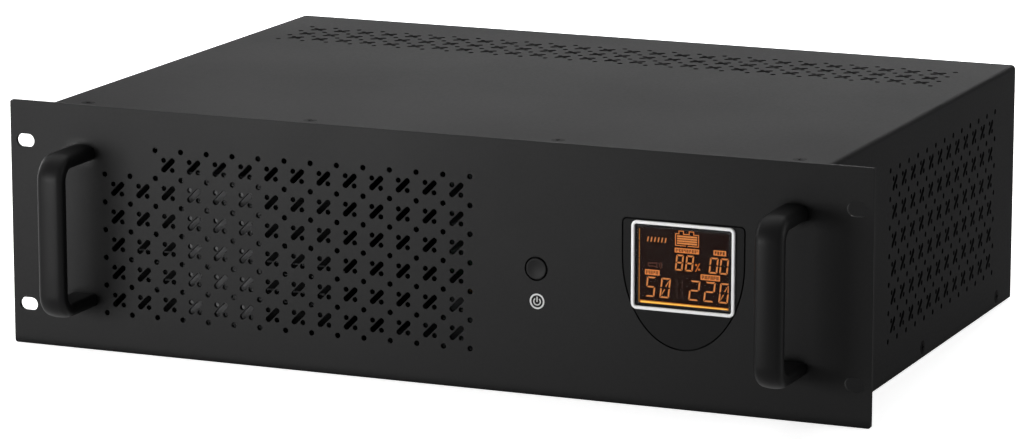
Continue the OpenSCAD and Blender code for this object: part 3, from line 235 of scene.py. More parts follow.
@dataclass(frozen=True)
class Finish:
    """A surface with fine grain, mottling and softened edges.
    """

    COAT_ROUGH = 0.12
    HOLLOW_SKY = (0.55, 0.92)
    RUB_GAIN, RUB_LIFT = 1.8, 0.004

    name: str = field(init=False, default="")
    colour: Colour
    roughness: float
    specular: float = 0.5
    metallic: float = 0.0
    grain_scale: float = 1000.0
    grain_depth: float = 0.02 * MM
    grain_strength: float = 0.3
    mottle: float = 0.12
    rough_range: float = 0.08
    edge_radius: float = 0.35 * MM
    edge_gain: float = 0.5
    coat: float = 0.0
    slot: Optional[str] = None
    turned_rough: Optional[float] = None
    # How far the occlusion looks for holes that get painted shade; none when zero.
    hollow_reach: float = 0.0
    hollow_rough: float = 0.12

    def __set_name__(self, owner: type, name: str) -> None:
        """Takes the finish's name from the list that it is kept in."""
        object.__setattr__(self, "name", name)

    def material(self) -> bpy.types.Material:
        """Returns the finish's material, built at its first use."""
        found = bpy.data.materials.get(f"{self.name}_finish")
        return found if found is not None else self._build()

    def _build(self) -> bpy.types.Material:
        """Returns the material, newly built."""
        made = bpy.data.materials.new(f"{self.name}_finish")
        graph = Graph.of(made)
        surface = graph.node(
            "ShaderNodeBsdfPrincipled",
            {
                "Metallic": self.metallic,
                "Specular IOR Level": self.specular,
                "Coat Weight": self.coat,
                "Coat Roughness": self.COAT_ROUGH,
            },
        )
        graph.node("ShaderNodeOutputMaterial", {"Surface": surface.outputs[0]})
        grain = graph.group(Effects.grain(), {"Scale": self.grain_scale})
        edge = graph.group(Effects.edge(), {"Radius": self.edge_radius})
        # Painted highlight: edges are blended towards a paler tint, broken by noise like wear.
        worn_highlight = graph.math("MULTIPLY", edge.outputs["Highlight And Wear"], self.edge_gain)
        colour = graph.mix(worn_highlight, self._tint(graph, grain), self._edge_tint())
        low, high = self.roughness - self.rough_range, self.roughness + self.rough_range
        rough = graph.span(grain.outputs["Cloud"], 0.0, 1.0, low, high)
        if self.turned_rough is not None:
            rough = graph.blend(edge.outputs["Turned"], rough, self.turned_rough)
        if self.hollow_reach > 0.0:
            # Painted shade: in holes and narrow gaps the base colour is darkened towards black
            # where shade falls, and the roughness is lowered there.
            painted_hollow_shade = self._hollow(graph)
            colour = graph.mix(painted_hollow_shade, colour, (0.0, 0.0, 0.0))
            rough = graph.blend(painted_hollow_shade, rough, self.hollow_rough)
        bump = graph.node(
            "ShaderNodeBump",
            {
                "Strength": self.grain_strength,
                "Distance": self.grain_depth,
                "Height": self._height(graph, grain),
                "Normal": edge.outputs["Normal"],
            },
        )
        graph.fill(surface, {"Base Color": colour, "Roughness": rough, "Normal": bump.outputs[0]})
        graph.fill(surface, self._extra(graph, grain))
        return made

    def _tint(self, graph: Graph, grain: Node) -> Socket:
        """Returns the colour with its mottling."""
        dark = tuple(c * (1.0 - self.mottle) for c in self.colour)
        pale = tuple(min(1.0, c * (1.0 + self.mottle)) for c in self.colour)
        return graph.mix(grain.outputs["Mottle"], dark, pale)

    def _hollow(self, graph: Graph) -> Socket:
        """Returns a mask of holes and narrow gaps, where the base colour is darkened as painted
        shade.
        """
        sky = graph.node("ShaderNodeAmbientOcclusion", {"Distance": self.hollow_reach}, samples=6)
        return graph.span(sky.outputs["AO"], *self.HOLLOW_SKY, 1.0, 0.0)

    def _edge_tint(self) -> Colour:
        """Returns the paler colour painted along edges: a painted edge highlight, broken like wear.
        """
        return tuple(min(1.0, c * self.RUB_GAIN + self.RUB_LIFT) for c in self.colour)

    def _height(self, graph: Graph, grain: Node) -> Socket:
        """Returns the height that the bump reads."""
        return grain.outputs["Height"]

    def _extra(self, graph: Graph, grain: Node) -> dict[str, Value]:
        """Returns the values that one kind of finish has beyond the rest."""
        return {}


@dataclass(frozen=True)
class PlatedMetal(Finish):
    """Bare or plated metal with streaks along one way."""

    STREAK_GAIN, SPANGLE_GAIN = 1.6, 2.0

    along: Along = Along.X
    streak_scale: float = 900.0
    spangle: float = 0.0

    def _streak(self, graph: Graph) -> Node:
        """Returns the streak group, placed with this metal's values."""
        values = {"Scale": self.streak_scale, **dict(zip("XYZ", self.along.value))}
        return graph.group(Effects.streak(), values)

    def _tint(self, graph: Graph, grain: Node) -> Socket:
        """Returns the metal's colour, streaked and spangled."""
        streak = self._streak(graph)
        dark = tuple(c * (1.0 - self.STREAK_GAIN * self.mottle) for c in self.colour)
        shade = graph.span(streak.outputs["Streak"], 0.3, 0.7, 0.0, 1.0)
        drawn = graph.mix(shade, dark, self.colour)
        crystal = tuple(c * (1.0 - self.spangle) for c in self.colour)
        most = min(1.0, self.spangle * self.SPANGLE_GAIN)
        share = graph.math("MULTIPLY", streak.outputs["Spangle"], most)
        return graph.mix(share, drawn, crystal)

    def _height(self, graph: Graph, grain: Node) -> Socket:
        """Returns streaks laid over the grain."""
        streak = self._streak(graph)
        return graph.math("ADD", grain.outputs["Height"], streak.outputs["Streak"])


@dataclass(frozen=True)
class Banded(Finish):
    """A stack of thin layers: laminations or turns, each a fine band."""

    JOINT = 0.22

    pitch: float = 0.5 * MM
    axis: int = 1
    band_colour: Colour = (0.05, 0.05, 0.05)

    def _band(self, graph: Graph) -> Socket:
        """Returns a saw of one tooth to each layer."""
        point = graph.node("ShaderNodeSeparateXYZ", {0: graph.place()})
        turns = graph.math("MULTIPLY", point.outputs[self.axis], 1.0 / self.pitch)
        return graph.math("PINGPONG", turns, 0.5)

    def _tint(self, graph: Graph, grain: Node) -> Socket:
        """Returns the layers' colour with the dark joint between them."""
        clear = graph.span(self._band(graph), 0.0, self.JOINT, 0.0, 1.0)
        return graph.mix(clear, self.band_colour, self.colour)

    def _height(self, graph: Graph, grain: Node) -> Socket:
        """Returns rounded layers under the grain."""
        layers = graph.math("MULTIPLY", self._band(graph), 2.0)
        return graph.math("ADD", layers, grain.outputs["Height"])


@dataclass(frozen=True)
class SolderMask(Finish):
    """A printed board: mask over tracks, with tinned pads."""

    TRACK, PAD = (0.05, 0.09), (0.16, 0.2)

    cell_scale: float = 190.0
    track_gain: float = 1.7
    pad_colour: Colour = (0.55, 0.55, 0.52)

    def _tint(self, graph: Graph, grain: Node) -> Socket:
        """Returns the mask's colour with tracks and pads showing."""
        cells = {"Vector": graph.place(), "Scale": self.cell_scale}
        middle = graph.node("ShaderNodeTexVoronoi", cells, distance="MANHATTAN")
        track = graph.node("ShaderNodeTexVoronoi", cells, feature="DISTANCE_TO_EDGE")
        line = graph.span(track.outputs["Distance"], *self.TRACK, 1.0, 0.0)
        mask = graph.mix(line, self.colour, tuple(c * self.track_gain for c in self.colour))
        pad = graph.span(middle.outputs["Distance"], *self.PAD, 1.0, 0.0)
        return graph.mix(pad, mask, self.pad_colour)


@dataclass(frozen=True)
class ClearPlastic(Finish):
    """A clear sheet that shows what lies behind it."""

    ior: float = 1.045

    def _extra(self, graph: Graph, grain: Node) -> dict[str, Value]:
        """Returns what makes the sheet clear."""
        return {"Transmission Weight": 1.0, "IOR": self.ior}


@dataclass(frozen=True)
class Glow(Finish):
    """A lit part of the display, or its unlit field."""

    roughness: float = 0.6
    specular: float = 0.02
    grain_depth: float = 0.001 * MM
    edge_radius: float = 0.02 * MM
    edge_gain: float = 0.0
    slot: Optional[str] = "lcd_dark"
    light: Colour = (1.0, 0.33, 0.06)
    core: Colour = (1.0, 0.45, 0.12)

    def _extra(self, graph: Graph, grain: Node) -> dict[str, Value]:
        """Returns what makes the part shine, a little unevenly."""
        shine = graph.mix(grain.outputs["Cloud"], self.light, self.core)
        return {"Emission Color": shine, "Emission Strength": 1.0}


class Finishes:
    """Every finish on the object."""

    panel_paint = Finish(
        (0.0060, 0.0060, 0.0061), 0.50, specular=0.082, grain_scale=1150.0, grain_depth=0.03 * MM,
        grain_strength=0.5, mottle=0.16, rough_range=0.025, edge_radius=0.5 * MM, edge_gain=0.0,
        turned_rough=0.85, hollow_reach=6.0 * MM,
    )
    cover_paint = Finish(
        (0.0180, 0.0180, 0.0183), 0.55, specular=0.002, grain_scale=1150.0, grain_depth=0.03 * MM,
        grain_strength=0.45, mottle=0.14, rough_range=0.02, edge_radius=0.5 * MM, edge_gain=0.0,
        hollow_reach=6.0 * MM,
    )
    # Painted shade: the screw heads are coloured darker than the cover they sit in, standing for
    # the shade of their countersinks.
    black_screw = Finish(
        (0.0030, 0.0030, 0.0031), 0.55, specular=0.003, grain_scale=2600.0, grain_depth=0.01 * MM,
        edge_radius=0.1 * MM, edge_gain=0.0, hollow_reach=0.8 * MM,
    )
    zinc = PlatedMetal((0.40, 0.405, 0.41), 0.42, metallic=1.0, mottle=0.1, spangle=0.18)
    strap_zinc = PlatedMetal(
        (0.145, 0.145, 0.148), 0.6, specular=0.2, metallic=0.15, mottle=0.03, spangle=0.03,
        along=Along.Z,
    )
    handle_black = Finish(
        (0.0030, 0.0030, 0.0031), 0.44, specular=0.072, grain_scale=1700.0, grain_depth=0.02 * MM,
        grain_strength=0.4, mottle=0.1, rough_range=0.03, edge_gain=0.15,
    )
    bezel_plastic = Finish(
        (0.0050, 0.0050, 0.0051), 0.50, specular=0.060, grain_scale=1500.0, grain_depth=0.02 * MM,
        grain_strength=0.4, rough_range=0.025, edge_radius=0.5 * MM, edge_gain=0.15,
    )
    white_plastic = Finish(
        (0.80, 0.80, 0.80), 0.34, specular=0.3, grain_scale=2600.0, grain_depth=0.004 * MM,
        mottle=0.015, rough_range=0.04, edge_gain=0.0,
    )
    window_clear = ClearPlastic(
        (0.97, 0.97, 0.97), 0.006, specular=0.4, grain_scale=400.0, grain_depth=0.0005 * MM,
        grain_strength=0.02, mottle=0.0, rough_range=0.004, edge_gain=0.0,
    )
    lcd_dark = Finish(
        (0.014, 0.0085, 0.007), 0.5, specular=0.03, grain_scale=3200.0, grain_depth=0.002 * MM,
        mottle=0.06, edge_gain=0.0,
    )
    lcd_field = Glow(
        (0.003, 0.0026, 0.0026), grain_scale=3200.0, light=(0.0072, 0.0020, 0.0012),
        core=(0.0088, 0.0026, 0.0016),
    )
    lcd_border = Finish(
        (0.012, 0.0115, 0.012), 0.5, specular=0.06, grain_scale=2400.0, grain_depth=0.004 * MM,
        mottle=0.05, edge_gain=0.0, slot="lcd_dark",
    )
    lcd_ghost = Glow((0.02, 0.009, 0.006), light=(0.070, 0.026, 0.018), core=(0.085, 0.032, 0.022))
    lcd_faint = Glow(
        (0.01, 0.006, 0.005), light=(0.022, 0.0105, 0.0085), core=(0.026, 0.012, 0.0095)
    )
    lit_amber = Glow((0.02, 0.005, 0.001), light=(0.56, 0.185, 0.048), core=(0.63, 0.23, 0.07))
    lit_dim = Glow((0.02, 0.005, 0.001), light=(0.56, 0.135, 0.018), core=(0.66, 0.17, 0.028))
    lit_plate = Glow((0.02, 0.006, 0.002), light=(0.60, 0.185, 0.045), core=(0.70, 0.225, 0.06))
    lit_rim = Glow((0.02, 0.005, 0.001), light=(0.40, 0.115, 0.010), core=(0.50, 0.15, 0.016))
    lit_gold = Glow((0.03, 0.014, 0.003), light=(0.30, 0.115, 0.018), core=(0.37, 0.145, 0.024))
    lit_yellow = Glow((0.03, 0.015, 0.002), light=(0.95, 0.50, 0.07), core=(1.0, 0.60, 0.11))
    print_white = Finish(
        (0.58, 0.58, 0.58), 0.5, specular=0.2, grain_scale=1800.0, mottle=0.04, edge_gain=0.0,
        slot="white_plastic",
    )
    black_plastic = Finish(
        (0.011, 0.011, 0.0115), 0.42, grain_scale=1900.0, grain_depth=0.015 * MM,
        edge_radius=0.3 * MM,
    )
    button_black = Finish(
        (0.0055, 0.0055, 0.0056), 0.50, specular=0.085, grain_scale=2400.0, grain_depth=0.008 * MM,
        rough_range=0.02, edge_gain=0.15, slot="black_plastic",
    )
    guide_black = Finish(
        (0.0035, 0.0035, 0.0036), 0.6, specular=0.03, grain_scale=1900.0, grain_depth=0.015 * MM,
        edge_gain=0.0,
    )
    white_nylon = Finish((0.72, 0.69, 0.62), 0.45, grain_scale=1400.0)
    board_green = SolderMask(
        (0.012, 0.07, 0.028), 0.36, grain_scale=2600.0, grain_depth=0.006 * MM, coat=0.3
    )
    brass = PlatedMetal((0.72, 0.5, 0.2), 0.3, metallic=1.0, mottle=0.08, along=Along.Y)
    battery_case = Finish(
        (0.0045, 0.0045, 0.0047), 0.6, specular=0.03, grain_scale=1200.0, edge_radius=0.6 * MM
    )
    battery_label = Finish(
        (0.006, 0.006, 0.0062), 0.6, specular=0.03, grain_scale=2200.0, mottle=0.04,
        slot="battery_case",
    )
    label_print = Finish(
        (0.10, 0.10, 0.103), 0.5, specular=0.1, grain_scale=2200.0, mottle=0.04,
        slot="battery_case",
    )
    red_insulation = Finish((0.42, 0.012, 0.01), 0.38, grain_scale=2200.0, grain_depth=0.006 * MM)
    black_insulation = Finish(
        (0.012, 0.012, 0.012), 0.38, grain_scale=2200.0, grain_depth=0.006 * MM
    )
    grey_insulation = Banded(
        (0.2, 0.2, 0.205), 0.45, pitch=1.27 * MM, axis=2, band_colour=(0.09, 0.09, 0.09)
    )
    laminations = Banded((0.1, 0.1, 0.105), 0.42, metallic=0.6, band_colour=(0.02, 0.02, 0.02))
    winding = Banded(
        (0.28, 0.1, 0.03), 0.3, pitch=1.3 * MM, axis=2, band_colour=(0.06, 0.02, 0.006), coat=0.4
    )
    aluminium = PlatedMetal((0.66, 0.67, 0.68), 0.38, metallic=1.0, mottle=0.12, along=Along.Y)
    blue_sleeve = Finish((0.01, 0.016, 0.07), 0.26, grain_scale=1500.0, grain_depth=0.006 * MM)
    relay_case = Finish((0.012, 0.012, 0.014), 0.3, grain_scale=1800.0, grain_depth=0.008 * MM)
    fan_plastic = Finish((0.020, 0.020, 0.0205), 0.46, grain_scale=1500.0, edge_radius=0.5 * MM)
    chrome_wire = PlatedMetal((0.3, 0.305, 0.31), 0.36, metallic=1.0, mottle=0.04, edge_gain=0.0)
    red_plastic = Finish((0.36, 0.015, 0.012), 0.36, grain_scale=1900.0, grain_depth=0.01 * MM)


def put(name: str, data: bpy.types.ID) -> bpy.types.Object:
    """Returns a new object in the scene that shows a mesh, a lamp or a camera."""
    made = bpy.data.objects.new(name, data)
    bpy.context.scene.collection.objects.link(made)
    return made


def to_mesh(name: str, shape: Mesh) -> bpy.types.Mesh:
    """Returns a shape as a mesh, and uses the shape up."""
    mesh = bpy.data.meshes.new(name)
    shape.to_mesh(mesh)
    shape.free()
    return mesh


def dress(finish: Finish, *nodes: str) -> None:
    """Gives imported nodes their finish."""
    for node in nodes:
        body = NODES[node]
        if not body.material_slots:
            body.data.materials.append(None)
        for place in body.material_slots:
            place.material = finish.material()
        LOG.info("dressed %s in %s", node, finish.name)


def dress_packed() -> None:
    """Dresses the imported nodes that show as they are."""
    dress(Finishes.panel_paint, "front_panel")
    dress(Finishes.cover_paint, "top_cover", "rear_panel")
    dress(
        Finishes.zinc, "chassis_base", "top_rail", "panel_nuts", "handle_screws",
        "display_board_screws", "battery_tabs", "battery_strap_screws", "transformer_frame",
        "transformer_screws", "board_screws", "breaker_nut", "usb_port",
    )
    dress(Finishes.bezel_plastic, "display_bezel")
    dress(Finishes.lcd_dark, "lcd_module")
    dress(Finishes.board_green, "display_board", "main_board", "comms_board")
    dress(Finishes.brass, "display_spacers", "board_spacers", "inlet_pins", "outlet_contacts")
    dress(Finishes.grey_insulation, "display_ribbon")
    dress(Finishes.guide_black, "button_guide")
    dress(Finishes.white_nylon, "switch_plunger")
    dress(Finishes.battery_case, "battery_1", "battery_2")
    dress(Finishes.strap_zinc, "battery_strap")
    dress(Finishes.red_insulation, "battery_link_lead", "battery_red_lead")
    dress(Finishes.black_insulation, "battery_black_lead")
    dress(Finishes.laminations, "transformer_core")
    dress(Finishes.winding, "transformer_winding")
    dress(Finishes.aluminium, "heatsink_1", "heatsink_2")
    dress(Finishes.blue_sleeve, "capacitors")
    dress(Finishes.relay_case, "relays")
    dress(Finishes.fan_plastic, "fan_frame")
    dress(Finishes.chrome_wire, "fan_guard")
    dress(
        Finishes.black_plastic, "power_switch", "power_transistors", "inlet_socket", "outlet_1",
        "outlet_2", "outlet_3", "outlet_4", "breaker_body", "network_jack",
    )
    dress(Finishes.red_plastic, "breaker_button")


def add_piece(
    name: str,
    shape: Mesh,
    finish: Finish,
    body: str = CASE,
    stands_for: Sequence[str] = (),
    smooth: float = 35.0,
) -> None:
    """Turns a shape into a piece that rides on a body.

    Args:
        name: The piece's name.
        shape: Its geometry, which is used up.
        finish: What it wears.
        body: The body that it rides on.
        stands_for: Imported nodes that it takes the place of.
        smooth: Edges flatter than this, in degrees, are shaded smooth.
    """
    bmesh.ops.recalc_face_normals(shape, faces=shape.faces)
    mesh = to_mesh(name, shape)
    mesh.polygons.foreach_set("use_smooth", [True] * len(mesh.polygons))
    mesh.set_sharp_from_angle(angle=math.radians(smooth))
    mesh.materials.append(finish.material())
    piece = put(name, mesh)
    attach(piece, body)
    if stands_for:
        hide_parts(*stands_for)
    LOG.info("built %s: %d faces", name, len(mesh.polygons))


class Shapes:
    """Geometry that several sub-assemblies use."""

    @staticmethod
    def rounded_loop(w: float, h: float, r: float, steps: int = 6) -> list[Flat]:
        """Returns a centred rectangle with round corners, anticlockwise."""
        r = max(r, 1e-6)
        x, y = w / 2 - r, h / 2 - r
        found = []
        for corner, (sx, sy) in enumerate(((1, 1), (-1, 1), (-1, -1), (1, -1))):
            for k in range(steps + 1):
                a = math.radians(90 * corner + 90 * k / steps)
                found.append((sx * x + r * math.cos(a), sy * y + r * math.sin(a)))
        return found

    @staticmethod
    def ring(r: float, steps: int) -> list[Flat]:
        """Returns points spread evenly on a circle."""
        angles = [2 * math.pi * k / steps for k in range(steps)]
        return [(r * math.cos(a), r * math.sin(a)) for a in angles]

    @staticmethod
    def corners(x0: float, z0: float, x1: float, z1: float) -> list[Flat]:
        """Returns an upright rectangle's corners, given its left, foot, right and top."""
        return [(x0, z0), (x1, z0), (x1, z1), (x0, z1)]

    @staticmethod
    def loft(shape: Mesh, loops: Sequence[Sequence[Vector]], close: bool = False) -> None:
        """Skins loops of equal length, with caps on the first and last unless they close up."""
        rows = [[shape.verts.new(p) for p in loop] for loop in loops]
        pairs = list(zip(rows, rows[1:])) + ([(rows[-1], rows[0])] if close else [])
        for a, b in pairs:
            for i in range(len(a)):
                j = (i + 1) % len(a)
                shape.faces.new((a[i], a[j], b[j], b[i]))
        if not close:
            shape.faces.new(rows[0])
            shape.faces.new(list(reversed(rows[-1])))

    @staticmethod
    def on_panel(points: Iterable[Flat], depth: float) -> list[Vector]:
        """Returns points drawn in millimetres on the panel, at a depth behind its face."""
        return [Vector((x * MM, PANEL_FACE + depth * MM, z * MM)) for x, z in points]

    @staticmethod
    def tile(shape: Mesh, points: Sequence[Flat], front: float, back: float) -> None:
        """Adds a thin flat piece parallel to the panel, from a front depth to a back one."""
        Shapes.loft(shape, [Shapes.on_panel(points, front), Shapes.on_panel(points, back)])

    @staticmethod
    def lathe(shape: Mesh, profile: Sequence[Flat], centre: Vector, steps: int) -> None:
        """Turns (radius, depth) points about a line along Y through centre."""
        loops = []
        for r, d in profile:
            spots = Shapes.ring(max(r, 1e-5), steps)
            loops.append([centre + Vector((x, d, z)) for x, z in spots])
        Shapes.loft(shape, loops)

    @staticmethod
    def arc(cx: float, cy: float, r: float, start: float, end: float, steps: int) -> list[Flat]:
        """Returns points on an arc, its angles in degrees."""
        angles = [math.radians(start + (end - start) * k / steps) for k in range(steps + 1)]
        return [(cx + r * math.cos(a), cy + r * math.sin(a)) for a in angles]


@dataclass(frozen=True)
class Lamp:
    """A soft box: where it hangs, the point that it faces, its size and its power in watts."""

    name: str
    at: Point
    aim: Point
    size: Flat
    power: float

    def hang(self) -> None:
        """Adds the lamp to the scene."""
        data = bpy.data.lights.new(self.name, "AREA")
        data.shape = "RECTANGLE"
        data.size, data.size_y = self.size
        data.energy = self.power
        lamp = put(self.name, data)
        lamp.location = self.at
        lamp.rotation_mode = "QUATERNION"
        lamp.rotation_quaternion = (Vector(self.aim) - Vector(self.at)).to_track_quat("-Z", "Y")


@dataclass
class Studio:
    """Floor, light and camera."""

    lens: float = 162.68
    sensor: float = 36.0
    azimuth: float = 23.014
    elevation: float = 11.841
    camera_at: Point = (0.94785, -2.25962, 0.57311)
    clip: Flat = (0.05, 60.0)
    floor_size: float = 30.0
    floor_drop: float = 0.3 * MM
    floor_colour: Colour = (0.80, 0.80, 0.80)
    floor_rough: float = 0.9
    floor_specular: float = 0.1
    floor_glow: float = 0.75
    fill: float = 0.08
    lamps: tuple[Lamp, ...] = (
        Lamp("overhead", (-0.25, 0.35, 1.75), (0.0, 0.05, 0.05), (1.9, 1.5), 15.0),
        Lamp("back_light", (-0.5, 1.6, 0.55), (0.0, 0.1, 0.13), (1.2, 0.5), 18.0),
        Lamp("rear_fill", (0.12, 1.25, 0.30), (0.0, 0.17, 0.07), (0.14, 0.5), 5.0),
        Lamp("right_fill", (1.25, 0.2, 0.45), (0.2, 0.03, 0.07), (0.5, 0.5), 4.0),
        Lamp("left_fill", (-1.25, 0.2, 0.45), (-0.2, 0.03, 0.07), (0.5, 0.5), 6.0),
        Lamp("left_key", (-0.37, -0.74, 0.115), (-0.06, -0.14, 0.08), (0.40, 0.20), 5.6),
    )

    def build(self) -> None:
        """Builds the whole stage."""
        bpy.context.scene.view_settings.view_transform = "Standard"
        self._camera()
        self._floor()
        self._world()
        for lamp in self.lamps:
            lamp.hang()

    def _camera(self) -> None:
        """Sets the camera where the photograph was taken from."""
        data = bpy.data.cameras.new("camera")
        data.lens = self.lens
        data.sensor_width = self.sensor
        data.clip_start, data.clip_end = self.clip
        camera = put("camera", data)
        a, e = math.radians(self.azimuth), math.radians(self.elevation)
        back = Vector((math.sin(a) * math.cos(e), -math.cos(a) * math.cos(e), math.sin(e)))
        camera.location = self.camera_at
        camera.rotation_mode = "QUATERNION"
        camera.rotation_quaternion = (-back).to_track_quat("-Z", "Y")
        bpy.context.scene.camera = camera

    @staticmethod
    def _seen(graph: Graph) -> Socket:
        """Returns 1 for rays that show the background, by sight, gloss or glass."""
        path = graph.node("ShaderNodeLightPath")
        first = graph.math("MAXIMUM", path.outputs["Is Camera Ray"], path.outputs["Is Glossy Ray"])
        return graph.math("MAXIMUM", first, path.outputs["Is Transmission Ray"])

    def _floor(self) -> None:
        """Lays a pale floor just under the object."""
        shape = bmesh.new()
        bmesh.ops.create_grid(shape, x_segments=1, y_segments=1, size=self.floor_size / 2)
        mesh = to_mesh("floor", shape)
        floor = put("floor", mesh)
        floor.location.z = -self.floor_drop
        made = bpy.data.materials.new("floor_pale")
        graph = Graph.of(made)
        surface = graph.node(
            "ShaderNodeBsdfPrincipled",
            {
                "Base Color": self.floor_colour,
                "Roughness": self.floor_rough,
                "Specular IOR Level": self.floor_specular,
                "Emission Color": (1.0, 1.0, 1.0),
                "Emission Strength": graph.math("MULTIPLY", self._seen(graph), self.floor_glow),
            },
        )
        graph.node("ShaderNodeOutputMaterial", {"Surface": surface.outputs[0]})
        mesh.materials.append(made)

    def _world(self) -> None:
        """Fills the room with soft light, white where it is seen."""
        world = bpy.data.worlds.new("studio")
        bpy.context.scene.world = world
        graph = Graph.of(world)
        strength = graph.span(self._seen(graph), 0.0, 1.0, self.fill, 1.0)
        sky = graph.node("ShaderNodeBackground", {"Color": (1.0, 1.0, 1.0), "Strength": strength})
        graph.node("ShaderNodeOutputWorld", {"Surface": sky.outputs[0]})


class Head(Enum):
    """The kinds of screw head, each with its power: how square its shoulder is."""

    OVAL = 2.0
    PAN = 4.5


@dataclass
class ScrewSet:
    """Cross-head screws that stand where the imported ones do."""

    node: str
    finish: Finish
    head: Head
    rise: float
    seat: float = 0.0
    shank_r: float = 1.5 * MM
    root: float = 0.84
    pitch: float = 0.6 * MM
    recess: float = 0.75 * MM
    arm: Flat = (1.75 * MM, 0.34 * MM)
    soft: float = 0.16 * MM
    lip: Flat = (0.02 * MM, 0.03 * MM)
    end_zone: float = 0.6 * MM
    rings: int = 22
    steps: int = 64
    shank_steps: int = 20

    def build(self) -> None:
        """Builds every screw of the set as one piece."""
        shape = bmesh.new()
        for place, radius, length in self._places():
            made = bmesh.new()
            self._head(made, radius)
            self._shank(made, radius, length)
            made.transform(place)
            mesh = to_mesh("screw", made)
            shape.from_mesh(mesh)
            bpy.data.meshes.remove(mesh)
        add_piece(f"{self.node}_set", shape, self.finish, stands_for=[self.node], smooth=50)

    def _places(self) -> list[tuple[Matrix, float, float]]:
        """Returns each packed screw's seat, head radius and length."""
        packed = bmesh.new()
        packed.from_mesh(NODES[self.node].data)
        bmesh.ops.remove_doubles(packed, verts=packed.verts, dist=1e-6)
        left, found = set(packed.verts), []
        while left:
            stack, island = [left.pop()], []
            while stack:
                point = stack.pop()
                island.append(point.co.copy())
                for edge in point.link_edges:
                    other = edge.other_vert(point)
                    if other in left:
                        left.remove(other)
                        stack.append(other)
            found.append(self._place(island))
        packed.free()
        return sorted(found, key=lambda item: tuple(round(v, 5) for v in item[0].translation))

    def _place(self, points: Sequence[Vector]) -> tuple[Matrix, float, float]:
        """Returns one screw's seat, with +Z outwards, its head radius and length."""
        low = Vector([min(p[k] for p in points) for k in range(3)])
        high = Vector([max(p[k] for p in points) for k in range(3)])
        size, middle = high - low, (low + high) / 2
        mean = sum(points, Vector()) / len(points)
        axis = max(range(3), key=lambda k: abs(mean[k] - middle[k]))
        others = [j for j in range(3) if j != axis]
        radius = max(size[j] for j in others) / 2

        def spread(end: float) -> float:
            """Returns how wide the screw is at one end."""
            near = [p for p in points if abs(p[axis] - end) < self.end_zone]
            return max(math.hypot(*(p[j] - middle[j] for j in others)) for p in near)

        up = spread(high[axis]) > spread(low[axis])
        out = Vector([0.0, 0.0, 0.0])
        out[axis] = 1.0 if up else -1.0
        at = middle.copy()
        at[axis] = high[axis] if up else low[axis]
        turn = Vector((0.0, 0.0, 1.0)).rotation_difference(out).to_matrix().to_4x4()
        return Matrix.Translation(at - out * self.seat) @ turn, radius, size[axis] - self.seat

    def _height(self, x: float, y: float, radius: float) -> float:
        """Returns the head's height over its seat at a point, with the cross sunk into it."""
        share = min(1.0, math.hypot(x, y) / radius)
        fall = 1.0 - share**self.head.value
        dome = self.rise * (fall if self.head is Head.OVAL else math.sqrt(max(0.0, fall)))
        half_l, half_w = self.arm
        sunk = 0.0
        for u, v in ((x, y), (y, x)):
            along = min(1.0, max(0.0, (half_l - abs(u)) / self.soft))
            across = min(1.0, max(0.0, (half_w - abs(v)) / self.soft + 0.5))
            sunk = max(sunk, along * across)
        return dome - sunk * self.recess

    def _neck(self, radius: float) -> float:
        """Returns where the shank starts, from the seat."""
        return 0.0 if self.head is Head.PAN else self.shank_r - radius

    def _head(self, shape: Mesh, radius: float) -> None:
        """Adds the head's upper face and its underside down to the shank."""
        loops = []
        for j in range(1, self.rings + 1):
            if self.head is Head.PAN:
                r = radius * math.sin(math.pi / 2 * j / self.rings)
            else:
                r = radius * j / self.rings
            spots = Shapes.ring(r, self.steps)
            loops.append([Vector((x, y, self._height(x, y, radius))) for x, y in spots])
        under, over = self.lip
        loops.append([Vector((p.x, p.y, -under)) for p in loops[-1]])
        scale, foot = self.shank_r / radius, self._neck(radius) - over
        loops.append([Vector((p.x * scale, p.y * scale, foot)) for p in loops[-1]])
        Shapes.loft(shape, loops)

    def _shank(self, shape: Mesh, radius: float, length: float) -> None:
        """Adds the threaded shank under the head."""
        top = self._neck(radius)
        turns = max(1, int((length - self.rise + top) / self.pitch))
        loops = []
        for k in range(2 * turns + 1):
            r = self.shank_r * (1.0 if k % 2 else self.root)
            z = top - k * self.pitch / 2
            loops.append([Vector((x, y, z)) for x, y in Shapes.ring(r, self.shank_steps)])
        Shapes.loft(shape, loops)


